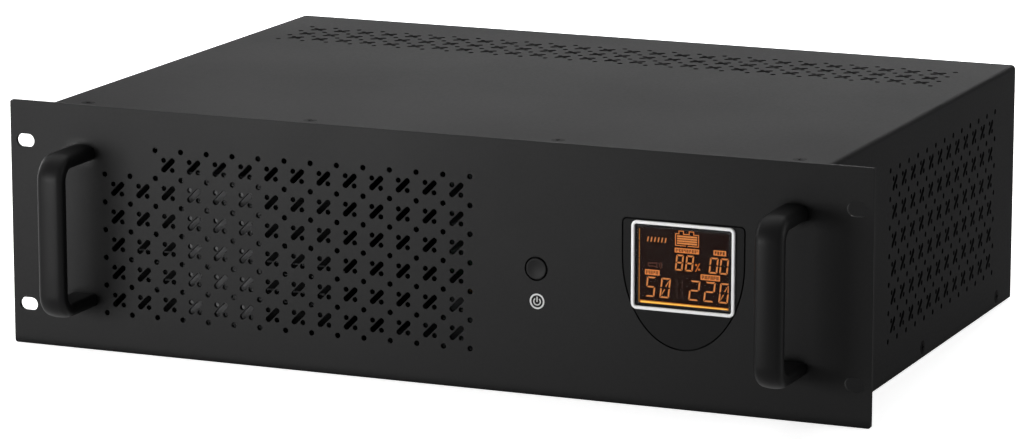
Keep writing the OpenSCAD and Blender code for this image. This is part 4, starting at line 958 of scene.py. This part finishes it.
@dataclass
class Handle:
    """One bow handle: a strap of soft section bent twice."""

    name: str
    width: float = 15.2 * MM
    thick: float = 8.0 * MM
    bend: float = 14.0 * MM
    crown_r: float = 20.0 * MM
    crown_half: float = 4.6 * MM
    rear_r: float = 2.2 * MM
    foot: float = 0.6 * MM
    grip_shares: Flat = (0.6, 0.2)
    bend_steps: int = 22

    def build(self) -> None:
        """Sweeps the section along the bow."""
        low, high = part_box(self.name)
        self.middle = (low + high) / 2
        self.rear = high.y
        self.reach = high.y - low.y
        self.height = high.z - low.z
        shape = bmesh.new()
        loops = [self._loop(*station) for station in self._stations()]
        Shapes.loft(shape, loops)
        finish = Finishes.handle_black
        add_piece(f"{self.name}_bow", shape, finish, stands_for=[self.name], smooth=60)

    def _section(self) -> list[Flat]:
        """Returns the section as (outward, across) points, crowned in front."""
        t, w, b = self.thick / 2, self.width / 2, self.rear_r
        tilt = math.asin(self.crown_half / self.crown_r)
        shoulder = (w - self.crown_half) / (1.0 - math.sin(tilt))
        inset = t - self.crown_r + (self.crown_r - shoulder) * math.cos(tilt)
        lean = math.degrees(tilt)
        front = Shapes.arc(t - self.crown_r, 0.0, self.crown_r, -lean, lean, 8)
        upper = Shapes.arc(inset, w - shoulder, shoulder, lean, 90, 9)[1:]
        upper += Shapes.arc(b - t, w - b, b, 90, 180, 6)
        return front + upper + [(x, -y) for x, y in reversed(upper)]

    def _stations(self) -> list[tuple[float, float, float]]:
        """Returns (y, z, outward angle) along the bow, from the upper foot to the lower one."""
        half = self.height / 2 - self.thick / 2
        front = self.thick / 2 - self.reach
        r = self.bend - self.thick / 2
        found = [(y, half, 90.0) for y in (0.0, -self.foot, (front + r) / 2)]
        for k in range(self.bend_steps + 1):
            a = 90.0 + 90.0 * k / self.bend_steps
            turn = math.radians(a)
            found.append((front + r + r * math.cos(turn), half - r + r * math.sin(turn), a))
        rise = half - r
        found += [(front, rise * s, 180.0) for s in self.grip_shares]
        return found + [(y, -z, 360.0 - a) for y, z, a in reversed(found)]

    def _loop(self, y: float, z: float, angle: float) -> list[Vector]:
        """Returns the section placed at one station of the bow."""
        a = math.radians(angle)
        out = Vector((0.0, math.cos(a), math.sin(a)))
        foot = Vector((self.middle.x, self.rear + y, self.middle.z + z))
        return [foot + out * u + Vector((v, 0.0, 0.0)) for u, v in self._section()]


@dataclass
class Segments:
    """Draws the display's figures as tiles on its face, in millimetres."""

    stroke: float = 0.76
    gap: float = 0.3
    slant: float = 0.105
    front: float = 0.45
    back: float = 0.62
    lift: float = 0.01
    shapes: dict[str, Mesh] = field(default_factory=dict)

    BARS = {"0": "abcdef", "2": "abged", "5": "afgcd", "8": "abcdefg"}

    def over(self, count: int) -> float:
        """Returns the front of a tile that lies over others."""
        return self.front - count * self.lift

    def add(self, layer: str, points: Sequence[Flat], front: Optional[float] = None) -> None:
        """Adds one tile to a named layer, at the usual depth unless a front one is given."""
        if layer not in self.shapes:
            self.shapes[layer] = bmesh.new()
        face = self.front if front is None else front
        Shapes.tile(self.shapes[layer], points, face, self.back)

    def box(self, layer: str, place: Box, front: Optional[float] = None) -> None:
        """Adds an upright rectangular tile at a place given as left, foot, right and top."""
        self.add(layer, Shapes.corners(*place), front)

    def digit(self, figure: str, place: Box, crossed: bool = False) -> None:
        """Adds a figure of up to seven bars, with slanted strokes in its halves if crossed."""
        x0, z0, x1, z1 = place
        h, s, g = z1 - z0, self.stroke, self.gap
        w = x1 - x0 - self.slant * h
        m, c = h / 2, s / 2
        bars = {
            "a": [(g, h), (w - g, h), (w - g - s, h - s), (g + s, h - s)],
            "d": [(g, 0), (g + s, s), (w - g - s, s), (w - g, 0)],
            "b": [(w, h - g), (w, m + g), (w - c, m + g), (w - s, m + g + c), (w - s, h - s - g)],
            "c": [(w, g), (w - s, s + g), (w - s, m - g - c), (w - c, m - g), (w, m - g)],
            "f": [(0, h - g), (s, h - s - g), (s, m + g + c), (c, m + g), (0, m + g)],
            "e": [(0, g), (0, m - g), (c, m - g), (s, m - g - c), (s, s + g)],
            "g": [
                (c + g, m), (s + g, m + c), (w - s - g, m + c),
                (w - c - g, m), (w - s - g, m - c), (s + g, m - c),
            ],
        }
        tiles = [bars[k] for k in self.BARS[figure]]
        if crossed:
            near, far = w / 2 - 0.1, w - s - g
            top = [(near, m + s), (far, h - s - 2 * g), (far, h - 2.6 * s), (w / 2 + 0.55, m + s)]
            tiles += [top, [(w - x, h - z) for x, z in top]]
        for bar in tiles:
            self.add("amber", [(x0 + x + self.slant * z, z0 + z) for x, z in bar])


@dataclass
class Display:
    """Trim, window and lit display."""

    trim_w: float = 55.6
    trim_h: float = 45.8
    trim_band: float = 1.75
    trim_r: float = 3.0
    trim_rise: float = 1.2
    trim_edge: float = 0.55
    window_w: float = 51.0
    window_h: float = 41.2
    window_r: float = 1.4
    window_back: float = 0.3
    window_ease: float = 0.2
    mask_w: float = 1.35
    mask_ease: float = 0.15
    mask_depths: Point = (0.36, 0.5, 0.6)
    field_lap: float = 0.3
    field_depths: Flat = (0.54, 0.6)
    small_stroke: float = 0.78
    small_z: Flat = (71.7, 79.9)
    small_figures: tuple = (
        ("8", 136.5, 141.4), ("8", 141.9, 146.9), ("0", 154.6, 160.0), ("0", 160.2, 165.5),
    )
    large_z: Flat = (56.9, 67.25)
    large_figures: tuple = (
        ("5", 120.6, 126.6), ("0", 128.3, 134.5), ("2", 143.8, 150.3), ("2", 151.9, 158.5),
        ("0", 159.9, 166.0),
    )
    plates: tuple[tuple[Box, int], ...] = (
        ((136.4, 80.85, 149.4, 83.3), 7), ((157.2, 81.1, 163.8, 83.7), 4),
        ((120.5, 68.2, 128.3, 70.9), 4), ((150.4, 68.0, 160.7, 70.8), 6),
    )
    faint_x: Flat = (137.4, 140.2)
    faint_z: tuple[Flat, ...] = ((57.4, 61.6), (62.6, 66.8))
    faint_w: float = 0.6
    line_x: Flat = (117.2, 117.55)
    line_z: tuple[Flat, ...] = ((53.9, 73.1), (73.5, 76.2), (76.6, 85.2), (85.6, 91.6))
    line_front: float = 0.34
    halo: tuple[Flat, ...] = (
        (117.7, 53.75), (118.4, 53.5), (165.2, 53.55), (165.6, 54.1), (165.2, 54.6), (118.0, 54.95),
    )
    core: tuple[Flat, ...] = (
        (118.2, 53.9), (118.7, 53.7), (164.7, 53.7), (165.1, 53.95), (164.7, 54.2), (118.4, 54.5),
    )
    core_front: float = 0.32

    def build(self) -> None:
        """Builds the trim, the window, the mask, the field and the figures."""
        low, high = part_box("display_frame")
        self.cx = (low.x + high.x) / 2 / MM
        self.cz = (low.z + high.z) / 2 / MM
        self.face = (low.y - PANEL_FACE) / MM
        self.pane = (self.window_w, self.window_h, self.window_r)
        self._trim()
        self._window()
        self._border()
        self._field()
        self._figures()

    def _ring(self, inset: float, depth: float, w: float, h: float, r: float) -> list[Vector]:
        """Returns a rounded loop about the display's middle, drawn in by inset."""
        loop = Shapes.rounded_loop(w - 2 * inset, h - 2 * inset, max(r - inset, 0.3), 8)
        return Shapes.on_panel([(self.cx + x, self.cz + z) for x, z in loop], depth)

    def _skin(
        self, name: str, finish: Finish, size: Point, profile: Iterable[Flat], close: bool = False,
        **wear,
    ) -> None:
        """Adds a piece skinned over rounded loops, each given by its inset and depth."""
        shape = bmesh.new()
        Shapes.loft(shape, [self._ring(i, d, *size) for i, d in profile], close)
        add_piece(name, shape, finish, **wear)

    def _trim(self) -> None:
        """Builds the raised trim with rounded edges."""
        e, b, top = self.trim_edge, self.trim_band, self.face
        steps = [math.radians(90 * k / 5) for k in range(6)]
        outer = [(e - e * math.cos(a), top + e - e * math.sin(a)) for a in steps]
        inner = [(b - e + e * math.sin(a), top + e - e * math.cos(a)) for a in steps]
        profile = [(0.0, top + self.trim_rise)] + outer + inner + [(b, top + self.trim_rise)]
        size, finish = (self.trim_w, self.trim_h, self.trim_r), Finishes.white_plastic
        self._skin("display_trim", finish, size, profile, True, stands_for=["display_frame"])

    def _window(self) -> None:
        """Builds the clear window with eased edges."""
        front = (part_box("display_window")[0].y - PANEL_FACE) / MM
        back, e, turn = self.window_back, self.window_ease, 0.3 * self.window_ease
        profile = [(0.0, back), (0.0, front + e), (turn, front + turn), (e, front)]
        wear = {"stands_for": ["display_window"], "smooth": 20}
        self._skin("display_pane", Finishes.window_clear, self.pane, profile, **wear)

    def _border(self) -> None:
        """Builds the dark mask round the display's field."""
        w, (front, lip, back) = self.mask_w, self.mask_depths
        profile = [(0.0, back), (0.0, front), (w - self.mask_ease, front), (w, lip), (w, back)]
        self._skin("display_mask", Finishes.lcd_border, self.pane, profile, True)

    def _field(self) -> None:
        """Lays the display's faintly lit field on its module."""
        profile = [(self.mask_w - self.field_lap, depth) for depth in self.field_depths]
        self._skin("display_field", Finishes.lcd_field, self.pane, profile)

    def _figures(self) -> None:
        """Builds every lit and unlit mark on the display."""
        draw = Segments()
        small = Segments(stroke=self.small_stroke, shapes=draw.shapes)
        for figure, x0, x1 in self.small_figures:
            small.digit(figure, (x0, self.small_z[0], x1, self.small_z[1]))
        for figure, x0, x1 in self.large_figures:
            place = (x0, self.large_z[0], x1, self.large_z[1])
            draw.digit(figure, place, crossed=figure == "0")
        self._percent(draw)
        self._battery(draw)
        for place, count in self.plates:
            self._plate(draw, place, count)
        self._slanted_bars(draw)
        self._speaker(draw)
        for z0, z1 in self.faint_z:
            for x in self.faint_x:
                draw.box("faint", (x, z0, x + self.faint_w, z1))
        for z0, z1 in self.line_z:
            draw.box("gold", (self.line_x[0], z0, self.line_x[1], z1), self.line_front)
        draw.add("rim", self.halo, self.line_front)
        draw.add("yellow", self.core, self.core_front)
        wear = {
            "amber": Finishes.lit_amber, "dim": Finishes.lit_dim, "plate": Finishes.lit_plate,
            "rim": Finishes.lit_rim, "gold": Finishes.lit_gold, "yellow": Finishes.lit_yellow,
            "ghost": Finishes.lcd_ghost, "faint": Finishes.lcd_faint, "dark": Finishes.lcd_field,
        }
        for layer, shape in draw.shapes.items():
            add_piece(f"display_marks_{layer}", shape, wear[layer])

    @staticmethod
    def _percent(draw: Segments) -> None:
        """Draws the percent sign."""
        draw.add("dim", [(147.4, 71.9), (147.85, 71.9), (150.0, 76.3), (149.55, 76.3)])
        for x, z in ((147.9, 75.3), (149.5, 73.1)):
            draw.add("dim", Shapes.arc(x, z, 0.55, 0, 330, 11))

    @staticmethod
    def _battery(draw: Segments) -> None:
        """Draws the charge mark: an outline with two terminals and four bars."""
        x0, x1, z0, z1, s = 136.6, 149.3, 84.35, 90.7, 0.38
        foot, head, top = z0 + s, z1 - s, z1 + 1.5
        for place in (
            (x0, z0, 142.4, foot), (143.4, z0, x1, foot), (x0, z0, x0 + s, z1),
            (x1 - s, z0, x1, z1), (x0, head, 138.8, z1), (140.8, head, 144.3, z1),
            (146.3, head, x1, z1),
        ):
            draw.box("plate", place)
        for x in (138.4, 143.9):
            draw.box("plate", (x, head, x + 0.36, top), draw.over(1))
            draw.box("plate", (x + 2.44, head, x + 2.8, top), draw.over(1))
            draw.box("plate", (x, z1 + 1.14, x + 2.8, top), draw.over(2))
        bars, pitch, first, tall, inset = 4, 1.2, 0.95, 0.84, 1.0
        for k in range(bars):
            z = z0 + first + pitch * k
            draw.box("amber", (x0 + inset, z, x1 - inset, z + tall))

    @staticmethod
    def _plate(draw: Segments, place: Box, count: int) -> None:
        """Draws a lit plate with pairs of unlit upright bars, long and short in turn."""
        x0, z0, x1, z1 = place
        margin, proud = 0.45, draw.over(3)
        draw.box("plate", place)
        step = (x1 - x0 - 2 * margin) / count
        for k in range(count):
            x = x0 + margin + step * k
            foot, head = z0 + (margin if k % 2 else 1.05), z1 - margin
            draw.box("dark", (x + 0.16, z0 + margin, x + 0.62, head), proud)
            draw.box("dark", (x + step - 0.72, foot, x + step - 0.3, head), proud)

    @staticmethod
    def _slanted_bars(draw: Segments) -> None:
        """Draws the row of small slanted bars at the upper left."""
        count, start, step, wide = 6, 121.4, 1.9, 0.62
        foot, head, lean = 85.3, 87.8, 0.2
        for k in range(count):
            x = start + step * k
            corners = Shapes.corners(x, foot, x + wide, head)
            draw.add("amber", [(px + lean * (pz - foot), pz) for px, pz in corners])

    @staticmethod
    def _speaker(draw: Segments) -> None:
        """Draws the unlit sounder mark."""
        x0, x1, z0, z1, s = 122.0, 125.0, 72.6, 74.1, 0.4
        for place in ((x0, z0, x1, z0 + s), (x0, z1, x1, z1 + s), (x0, z0, x0 + s, 74.5)):
            draw.box("ghost", place)
        draw.add("ghost", [(x1, z0), (127.0, 72.1), (127.0, z0), (125.4, 73.0)])
        draw.add("ghost", [(x1, 74.5), (125.4, z1), (127.0, 74.5), (127.0, 75.0)])
        draw.box("ghost", (126.6, 72.1, 127.0, 75.0), draw.over(1))
        for r in (1.2, 2.2):
            outer = Shapes.arc(126.9, 73.55, r + 0.5, -42, 42, 8)
            inner = Shapes.arc(126.9, 73.55, r + 0.1, 42, -42, 8)
            draw.add("ghost", outer + inner)


@dataclass
class PowerControl:
    """Power button and the mark under it."""

    button_r: float = 5.5 * MM
    rim: float = 0.8 * MM
    dish: float = 0.5 * MM
    dish_steps: int = 10
    ease: float = 0.35 * MM
    rim_break: float = 0.08 * MM
    collar_t: float = 1.2 * MM
    steps: int = 72
    mark_at: Flat = (61.8, 49.1)
    ring_r: float = 4.05
    ring_w: float = 0.85
    sign_r: float = 2.1
    sign_w: float = 0.6
    sign_drop: float = 0.1
    sign_arc: Flat = (128.0, 412.0)
    sign_bar: Flat = (-0.3, 2.4)
    ink: Flat = (-0.04, 0.03)
    band_steps: int = 48

    def build(self) -> None:
        """Builds the button and the mark."""
        self._button()
        self._mark()

    def _button(self) -> None:
        """Builds the dished button with an eased rim and its collar."""
        low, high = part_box("power_button")
        centre = Vector(((low.x + high.x) / 2, low.y, (low.z + high.z) / 2))
        collar_r, length = (high.x - low.x) / 2, high.y - low.y
        dish_r = self.button_r - self.rim
        n = self.dish_steps
        bowl = [(dish_r * k / n, self.dish * (1 - (k / n) ** 2)) for k in range(n)]
        rim = [(dish_r + self.rim_break, 0.0), (self.button_r - self.ease, 0.0)]
        turn = Shapes.arc(self.button_r - self.ease, self.ease, self.ease, -75, 0, 5)
        step = length - self.collar_t
        collar = [(self.button_r, step), (collar_r, step), (collar_r, length), (0.0, length)]
        shape = bmesh.new()
        Shapes.lathe(shape, bowl + rim + turn + collar, centre, self.steps)
        body = "power_button"
        add_piece("power_button_cap", shape, Finishes.button_black, body, [body], smooth=40)

    def _mark(self) -> None:
        """Prints the ring and the standby sign under the button."""
        shape = bmesh.new()
        x, z = self.mark_at
        self._band(shape, (x, z), (self.ring_r, self.ring_w), (0.0, 360.0))
        self._band(shape, (x, z - self.sign_drop), (self.sign_r, self.sign_w), self.sign_arc)
        bar = self.sign_w / 2
        foot, head = z + self.sign_bar[0], z + self.sign_bar[1]
        Shapes.tile(shape, Shapes.corners(x - bar, foot, x + bar, head), *self.ink)
        add_piece("standby_mark", shape, Finishes.print_white)

    def _band(self, shape: Mesh, middle: Flat, size: Flat, sweep: Flat) -> None:
        """Adds a flat band, its size an outer radius and a width, along an arc in degrees."""
        r, w = size
        outer = Shapes.arc(*middle, r, *sweep, self.band_steps)
        inner = Shapes.arc(*middle, r - w, *sweep, self.band_steps)
        for k in range(self.band_steps):
            corners = [outer[k], outer[k + 1], inner[k + 1], inner[k]]
            Shapes.tile(shape, corners, *self.ink)


@dataclass
class BatteryLabels:
    """Plain labels on the two batteries."""

    label_w: float = 54.0
    label_z: Flat = (24.0, 82.0)
    label_r: float = 2.0
    label_depths: Flat = (-0.12, 0.02)
    rules: int = 4
    rule_w: float = 1.0
    rule_depths: Flat = (-0.16, -0.1)
    prints: dict[str, tuple[Box, ...]] = field(
        default_factory=lambda: {
            "battery_1": ((-183.0, 43.0, -155.0, 53.0), (-170.0, 29.0, -155.0, 38.0)),
            "battery_2": ((-101.0, 43.0, -66.0, 53.0), (-101.0, 28.0, -66.0, 38.0)),
        }
    )

    def build(self) -> None:
        """Adds a label to each battery."""
        for node in self.prints:
            self._label(node)

    def _label(self, node: str) -> None:
        """Sticks a plain label with blocks of fine rules on a battery's front."""
        low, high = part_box(node)
        x = (low.x + high.x) / 2 / MM
        z = sum(self.label_z) / 2
        face = (low.y - PANEL_FACE) / MM
        h = self.label_z[1] - self.label_z[0]
        shape = bmesh.new()
        loop = [(x + px, z + pz) for px, pz in Shapes.rounded_loop(self.label_w, h, self.label_r)]
        Shapes.tile(shape, loop, *(face + d for d in self.label_depths))
        add_piece(f"{node}_label", shape, Finishes.battery_label)
        shape = bmesh.new()
        for x0, z0, x1, z1 in self.prints[node]:
            for k in range(self.rules):
                foot = z0 + (z1 - z0 - self.rule_w) * k / (self.rules - 1)
                loop = Shapes.rounded_loop(x1 - x0, self.rule_w, self.rule_w / 2 - 0.01)
                placed = [((x0 + x1) / 2 + px, foot + self.rule_w / 2 + pz) for px, pz in loop]
                Shapes.tile(shape, placed, *(face + d for d in self.rule_depths))
        add_piece(f"{node}_print", shape, Finishes.label_print)


@dataclass
class FanWheel:
    """The fan's rotor: a hub with twisted blades."""

    hub_r: float = 16.0 * MM
    hub_ease: float = 1.8 * MM
    bore_r: float = 2.05 * MM
    cap_t: float = 1.0 * MM
    seat_r: float = 10.5 * MM
    seat_depth: float = 0.35 * MM
    seat_ease: float = 0.3 * MM
    hub_steps: int = 56
    root_lap: float = 0.6 * MM
    tip_r: float = 36.7 * MM
    blades: int = 7
    chord: Flat = (15.0 * MM, 21.5 * MM)
    pitch: Flat = (47.0, 27.0)
    camber: float = 1.8 * MM
    thick: float = 1.5 * MM
    lean: float = 13.0
    stations: int = 10
    foil_steps: int = 8
    foil_end: float = 0.16

    def build(self) -> None:
        """Builds the rotor."""
        low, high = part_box("fan_frame")
        rotor_low, rotor_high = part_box("fan_rotor")
        self.centre = Vector(((low.x + high.x) / 2, rotor_low.y, (low.z + high.z) / 2))
        self.depth = rotor_high.y - rotor_low.y
        shape = bmesh.new()
        self._hub(shape)
        for k in range(self.blades):
            self._blade(shape, 2 * math.pi * k / self.blades)
        body = "fan_rotor"
        add_piece("fan_wheel", shape, Finishes.fan_plastic, body, [body], smooth=40)

    def _hub(self, shape: Mesh) -> None:
        """Adds the hub: an eased cup with a shallow seat in its rear and a blind bore."""
        d, e = self.depth, self.hub_ease
        end, sunk = d - self.cap_t, d - self.seat_depth
        rim = Shapes.arc(self.hub_r - e, d - e, e, 0, 90, 6)
        seat = [(self.seat_r + self.seat_ease, d), (self.seat_r, sunk), (0.0, sunk)]
        bore = [(0.0, end), (self.bore_r, end), (self.bore_r, 0.0), (self.hub_r, 0.0)]
        Shapes.lathe(shape, bore + rim + seat, self.centre, self.hub_steps)

    def _blade(self, shape: Mesh, turn: float) -> None:
        """Adds one cambered blade, twisted from root to tip."""
        loops = []
        for k in range(self.stations + 1):
            share = k / self.stations
            lap = self.root_lap
            r = self.hub_r - lap + share * (self.tip_r - self.hub_r + lap)
            chord = self.chord[0] + share * (self.chord[1] - self.chord[0])
            pitch = math.radians(self.pitch[0] + share * (self.pitch[1] - self.pitch[0]))
            start = turn + math.radians(self.lean) * share**2
            loops.append([self._on_wheel(r, start, pitch, s * chord, h) for s, h in self._foil()])
        Shapes.loft(shape, loops)

    def _foil(self) -> list[Flat]:
        """Returns a blade's section as (share of chord, height off it) points."""
        upper, lower = [], []
        for k in range(self.foil_steps + 1):
            s = -0.5 * math.cos(math.pi * k / self.foil_steps)
            arch = self.camber * (1.0 - 4.0 * s * s)
            half = self.thick / 2 * max(self.foil_end, 1.0 - 4.0 * s * s) ** 0.5
            upper.append((s, arch + half))
            lower.append((s, arch - half))
        return upper + lower[::-1]

    def _on_wheel(self, r: float, turn: float, pitch: float, along: float, off: float) -> Vector:
        """Returns a point of a blade, given along its chord and off it at a radius."""
        tangent = along * math.cos(pitch) - off * math.sin(pitch)
        axial = along * math.sin(pitch) + off * math.cos(pitch)
        a = turn + tangent / r
        return self.centre + Vector((r * math.cos(a), self.depth / 2 + axial, -r * math.sin(a)))


@dataclass
class RearJacks:
    """Contacts in the two jacks at the rear."""

    tongue: Flat = (5.7, 3.3)
    tongue_reach: float = 8.4
    tongue_sunk: float = 0.9
    tongue_ease: float = 0.25
    usb_contact: Flat = (0.7, 0.12)
    usb_dx: float = 1.25
    usb_bed: float = 0.1
    usb_short: float = 0.8
    usb_ease: float = 0.05
    port_dx: float = 7.0
    contacts: int = 8
    contact_pitch: float = 1.02
    contact_w: float = 0.45
    contact_path: tuple[Flat, ...] = ((2.2, 3.4), (3.2, 3.1), (11.8, -2.2))

    def build(self) -> None:
        """Adds the contacts of both jacks."""
        self._usb()
        self._network()

    @staticmethod
    def _block(shape: Mesh, low: Point, high: Point, ease: float) -> None:
        """Adds a block with eased upright edges, standing out to the rear."""
        w, h = high[0] - low[0], high[2] - low[2]
        x, z = (low[0] + high[0]) / 2, (low[2] + high[2]) / 2
        loops = []
        tip, turn = high[1], 0.3 * ease
        for inset, y in ((0.0, low[1]), (0.0, tip - ease), (turn, tip - turn), (ease, tip)):
            loop = Shapes.rounded_loop(w - 2 * inset, h - 2 * inset, ease, 3)
            loops.append([Vector((x + px, y, z + pz)) for px, pz in loop])
        Shapes.loft(shape, loops)

    def _usb(self) -> None:
        """Adds the tongue's sleeve and its four contacts."""
        low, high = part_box("usb_port")
        x, z, mouth = (low.x + high.x) / 2, (low.z + high.z) / 2, high.y
        half_w, half_h = self.tongue[0] / 2 * MM, self.tongue[1] / 2 * MM
        root, tip = mouth - self.tongue_reach * MM, mouth - self.tongue_sunk * MM
        shape = bmesh.new()
        near, far = (x - half_w, root, z - half_h), (x + half_w, tip, z + half_h)
        self._block(shape, near, far, self.tongue_ease * MM)
        add_piece("usb_tongue", shape, Finishes.black_plastic)
        wide, proud = self.usb_contact[0] * MM, self.usb_contact[1] * MM
        shape = bmesh.new()
        for side in (-1, 1):
            for across in (-1, 1):
                cx = x + across * self.usb_dx * MM
                face = z + side * half_h
                z0, z1 = sorted((face - side * self.usb_bed * MM, face + side * proud))
                end = tip - self.usb_short * MM
                near, far = (cx - wide / 2, root, z0), (cx + wide / 2, end, z1)
                self._block(shape, near, far, self.usb_ease * MM)
        add_piece("usb_contacts", shape, Finishes.brass)

    def _network(self) -> None:
        """Adds the row of sprung wires in each network port."""
        low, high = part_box("network_jack")
        middle, z, mouth = (low.x + high.x) / 2, (low.z + high.z) / 2, high.y
        ring = Shapes.arc(0.0, 0.0, self.contact_w / 2 * MM, 0, 315, 7)
        path = [(mouth - d * MM, z + h * MM) for d, h in self.contact_path]
        shape = bmesh.new()
        for side in (-1, 1):
            for k in range(self.contacts):
                place = (k - (self.contacts - 1) / 2) * self.contact_pitch
                x = middle + (side * self.port_dx + place) * MM
                loops = [[Vector((x + px, y, h + pz)) for px, pz in ring] for y, h in path]
                Shapes.loft(shape, loops)
        add_piece("network_contacts", shape, Finishes.brass)


def main() -> None:
    """Builds the stage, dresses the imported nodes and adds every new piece."""
    logging.basicConfig(level=logging.INFO, format="%(name)s: %(message)s")
    Studio().build()
    dress_packed()
    # The black screws carry painted shade of their countersinks in their colour.
    black_and_shade, pan = Finishes.black_screw, {"rise": 2.2 * MM, "seat": 2.2 * MM}
    screws = (
        ScrewSet("cover_screws", black_and_shade, Head.OVAL, rise=0.12 * MM),
        ScrewSet("rear_screws", black_and_shade, Head.PAN, **pan),
        ScrewSet("fan_screws", Finishes.zinc, Head.PAN, **pan, shank_r=2.0 * MM),
    )
    handles = (Handle("left_handle"), Handle("right_handle"))
    others = (Display(), PowerControl(), BatteryLabels(), FanWheel(), RearJacks())
    for part in (*screws, *handles, *others):
        part.build()


if __name__ == "__main__":
    main()
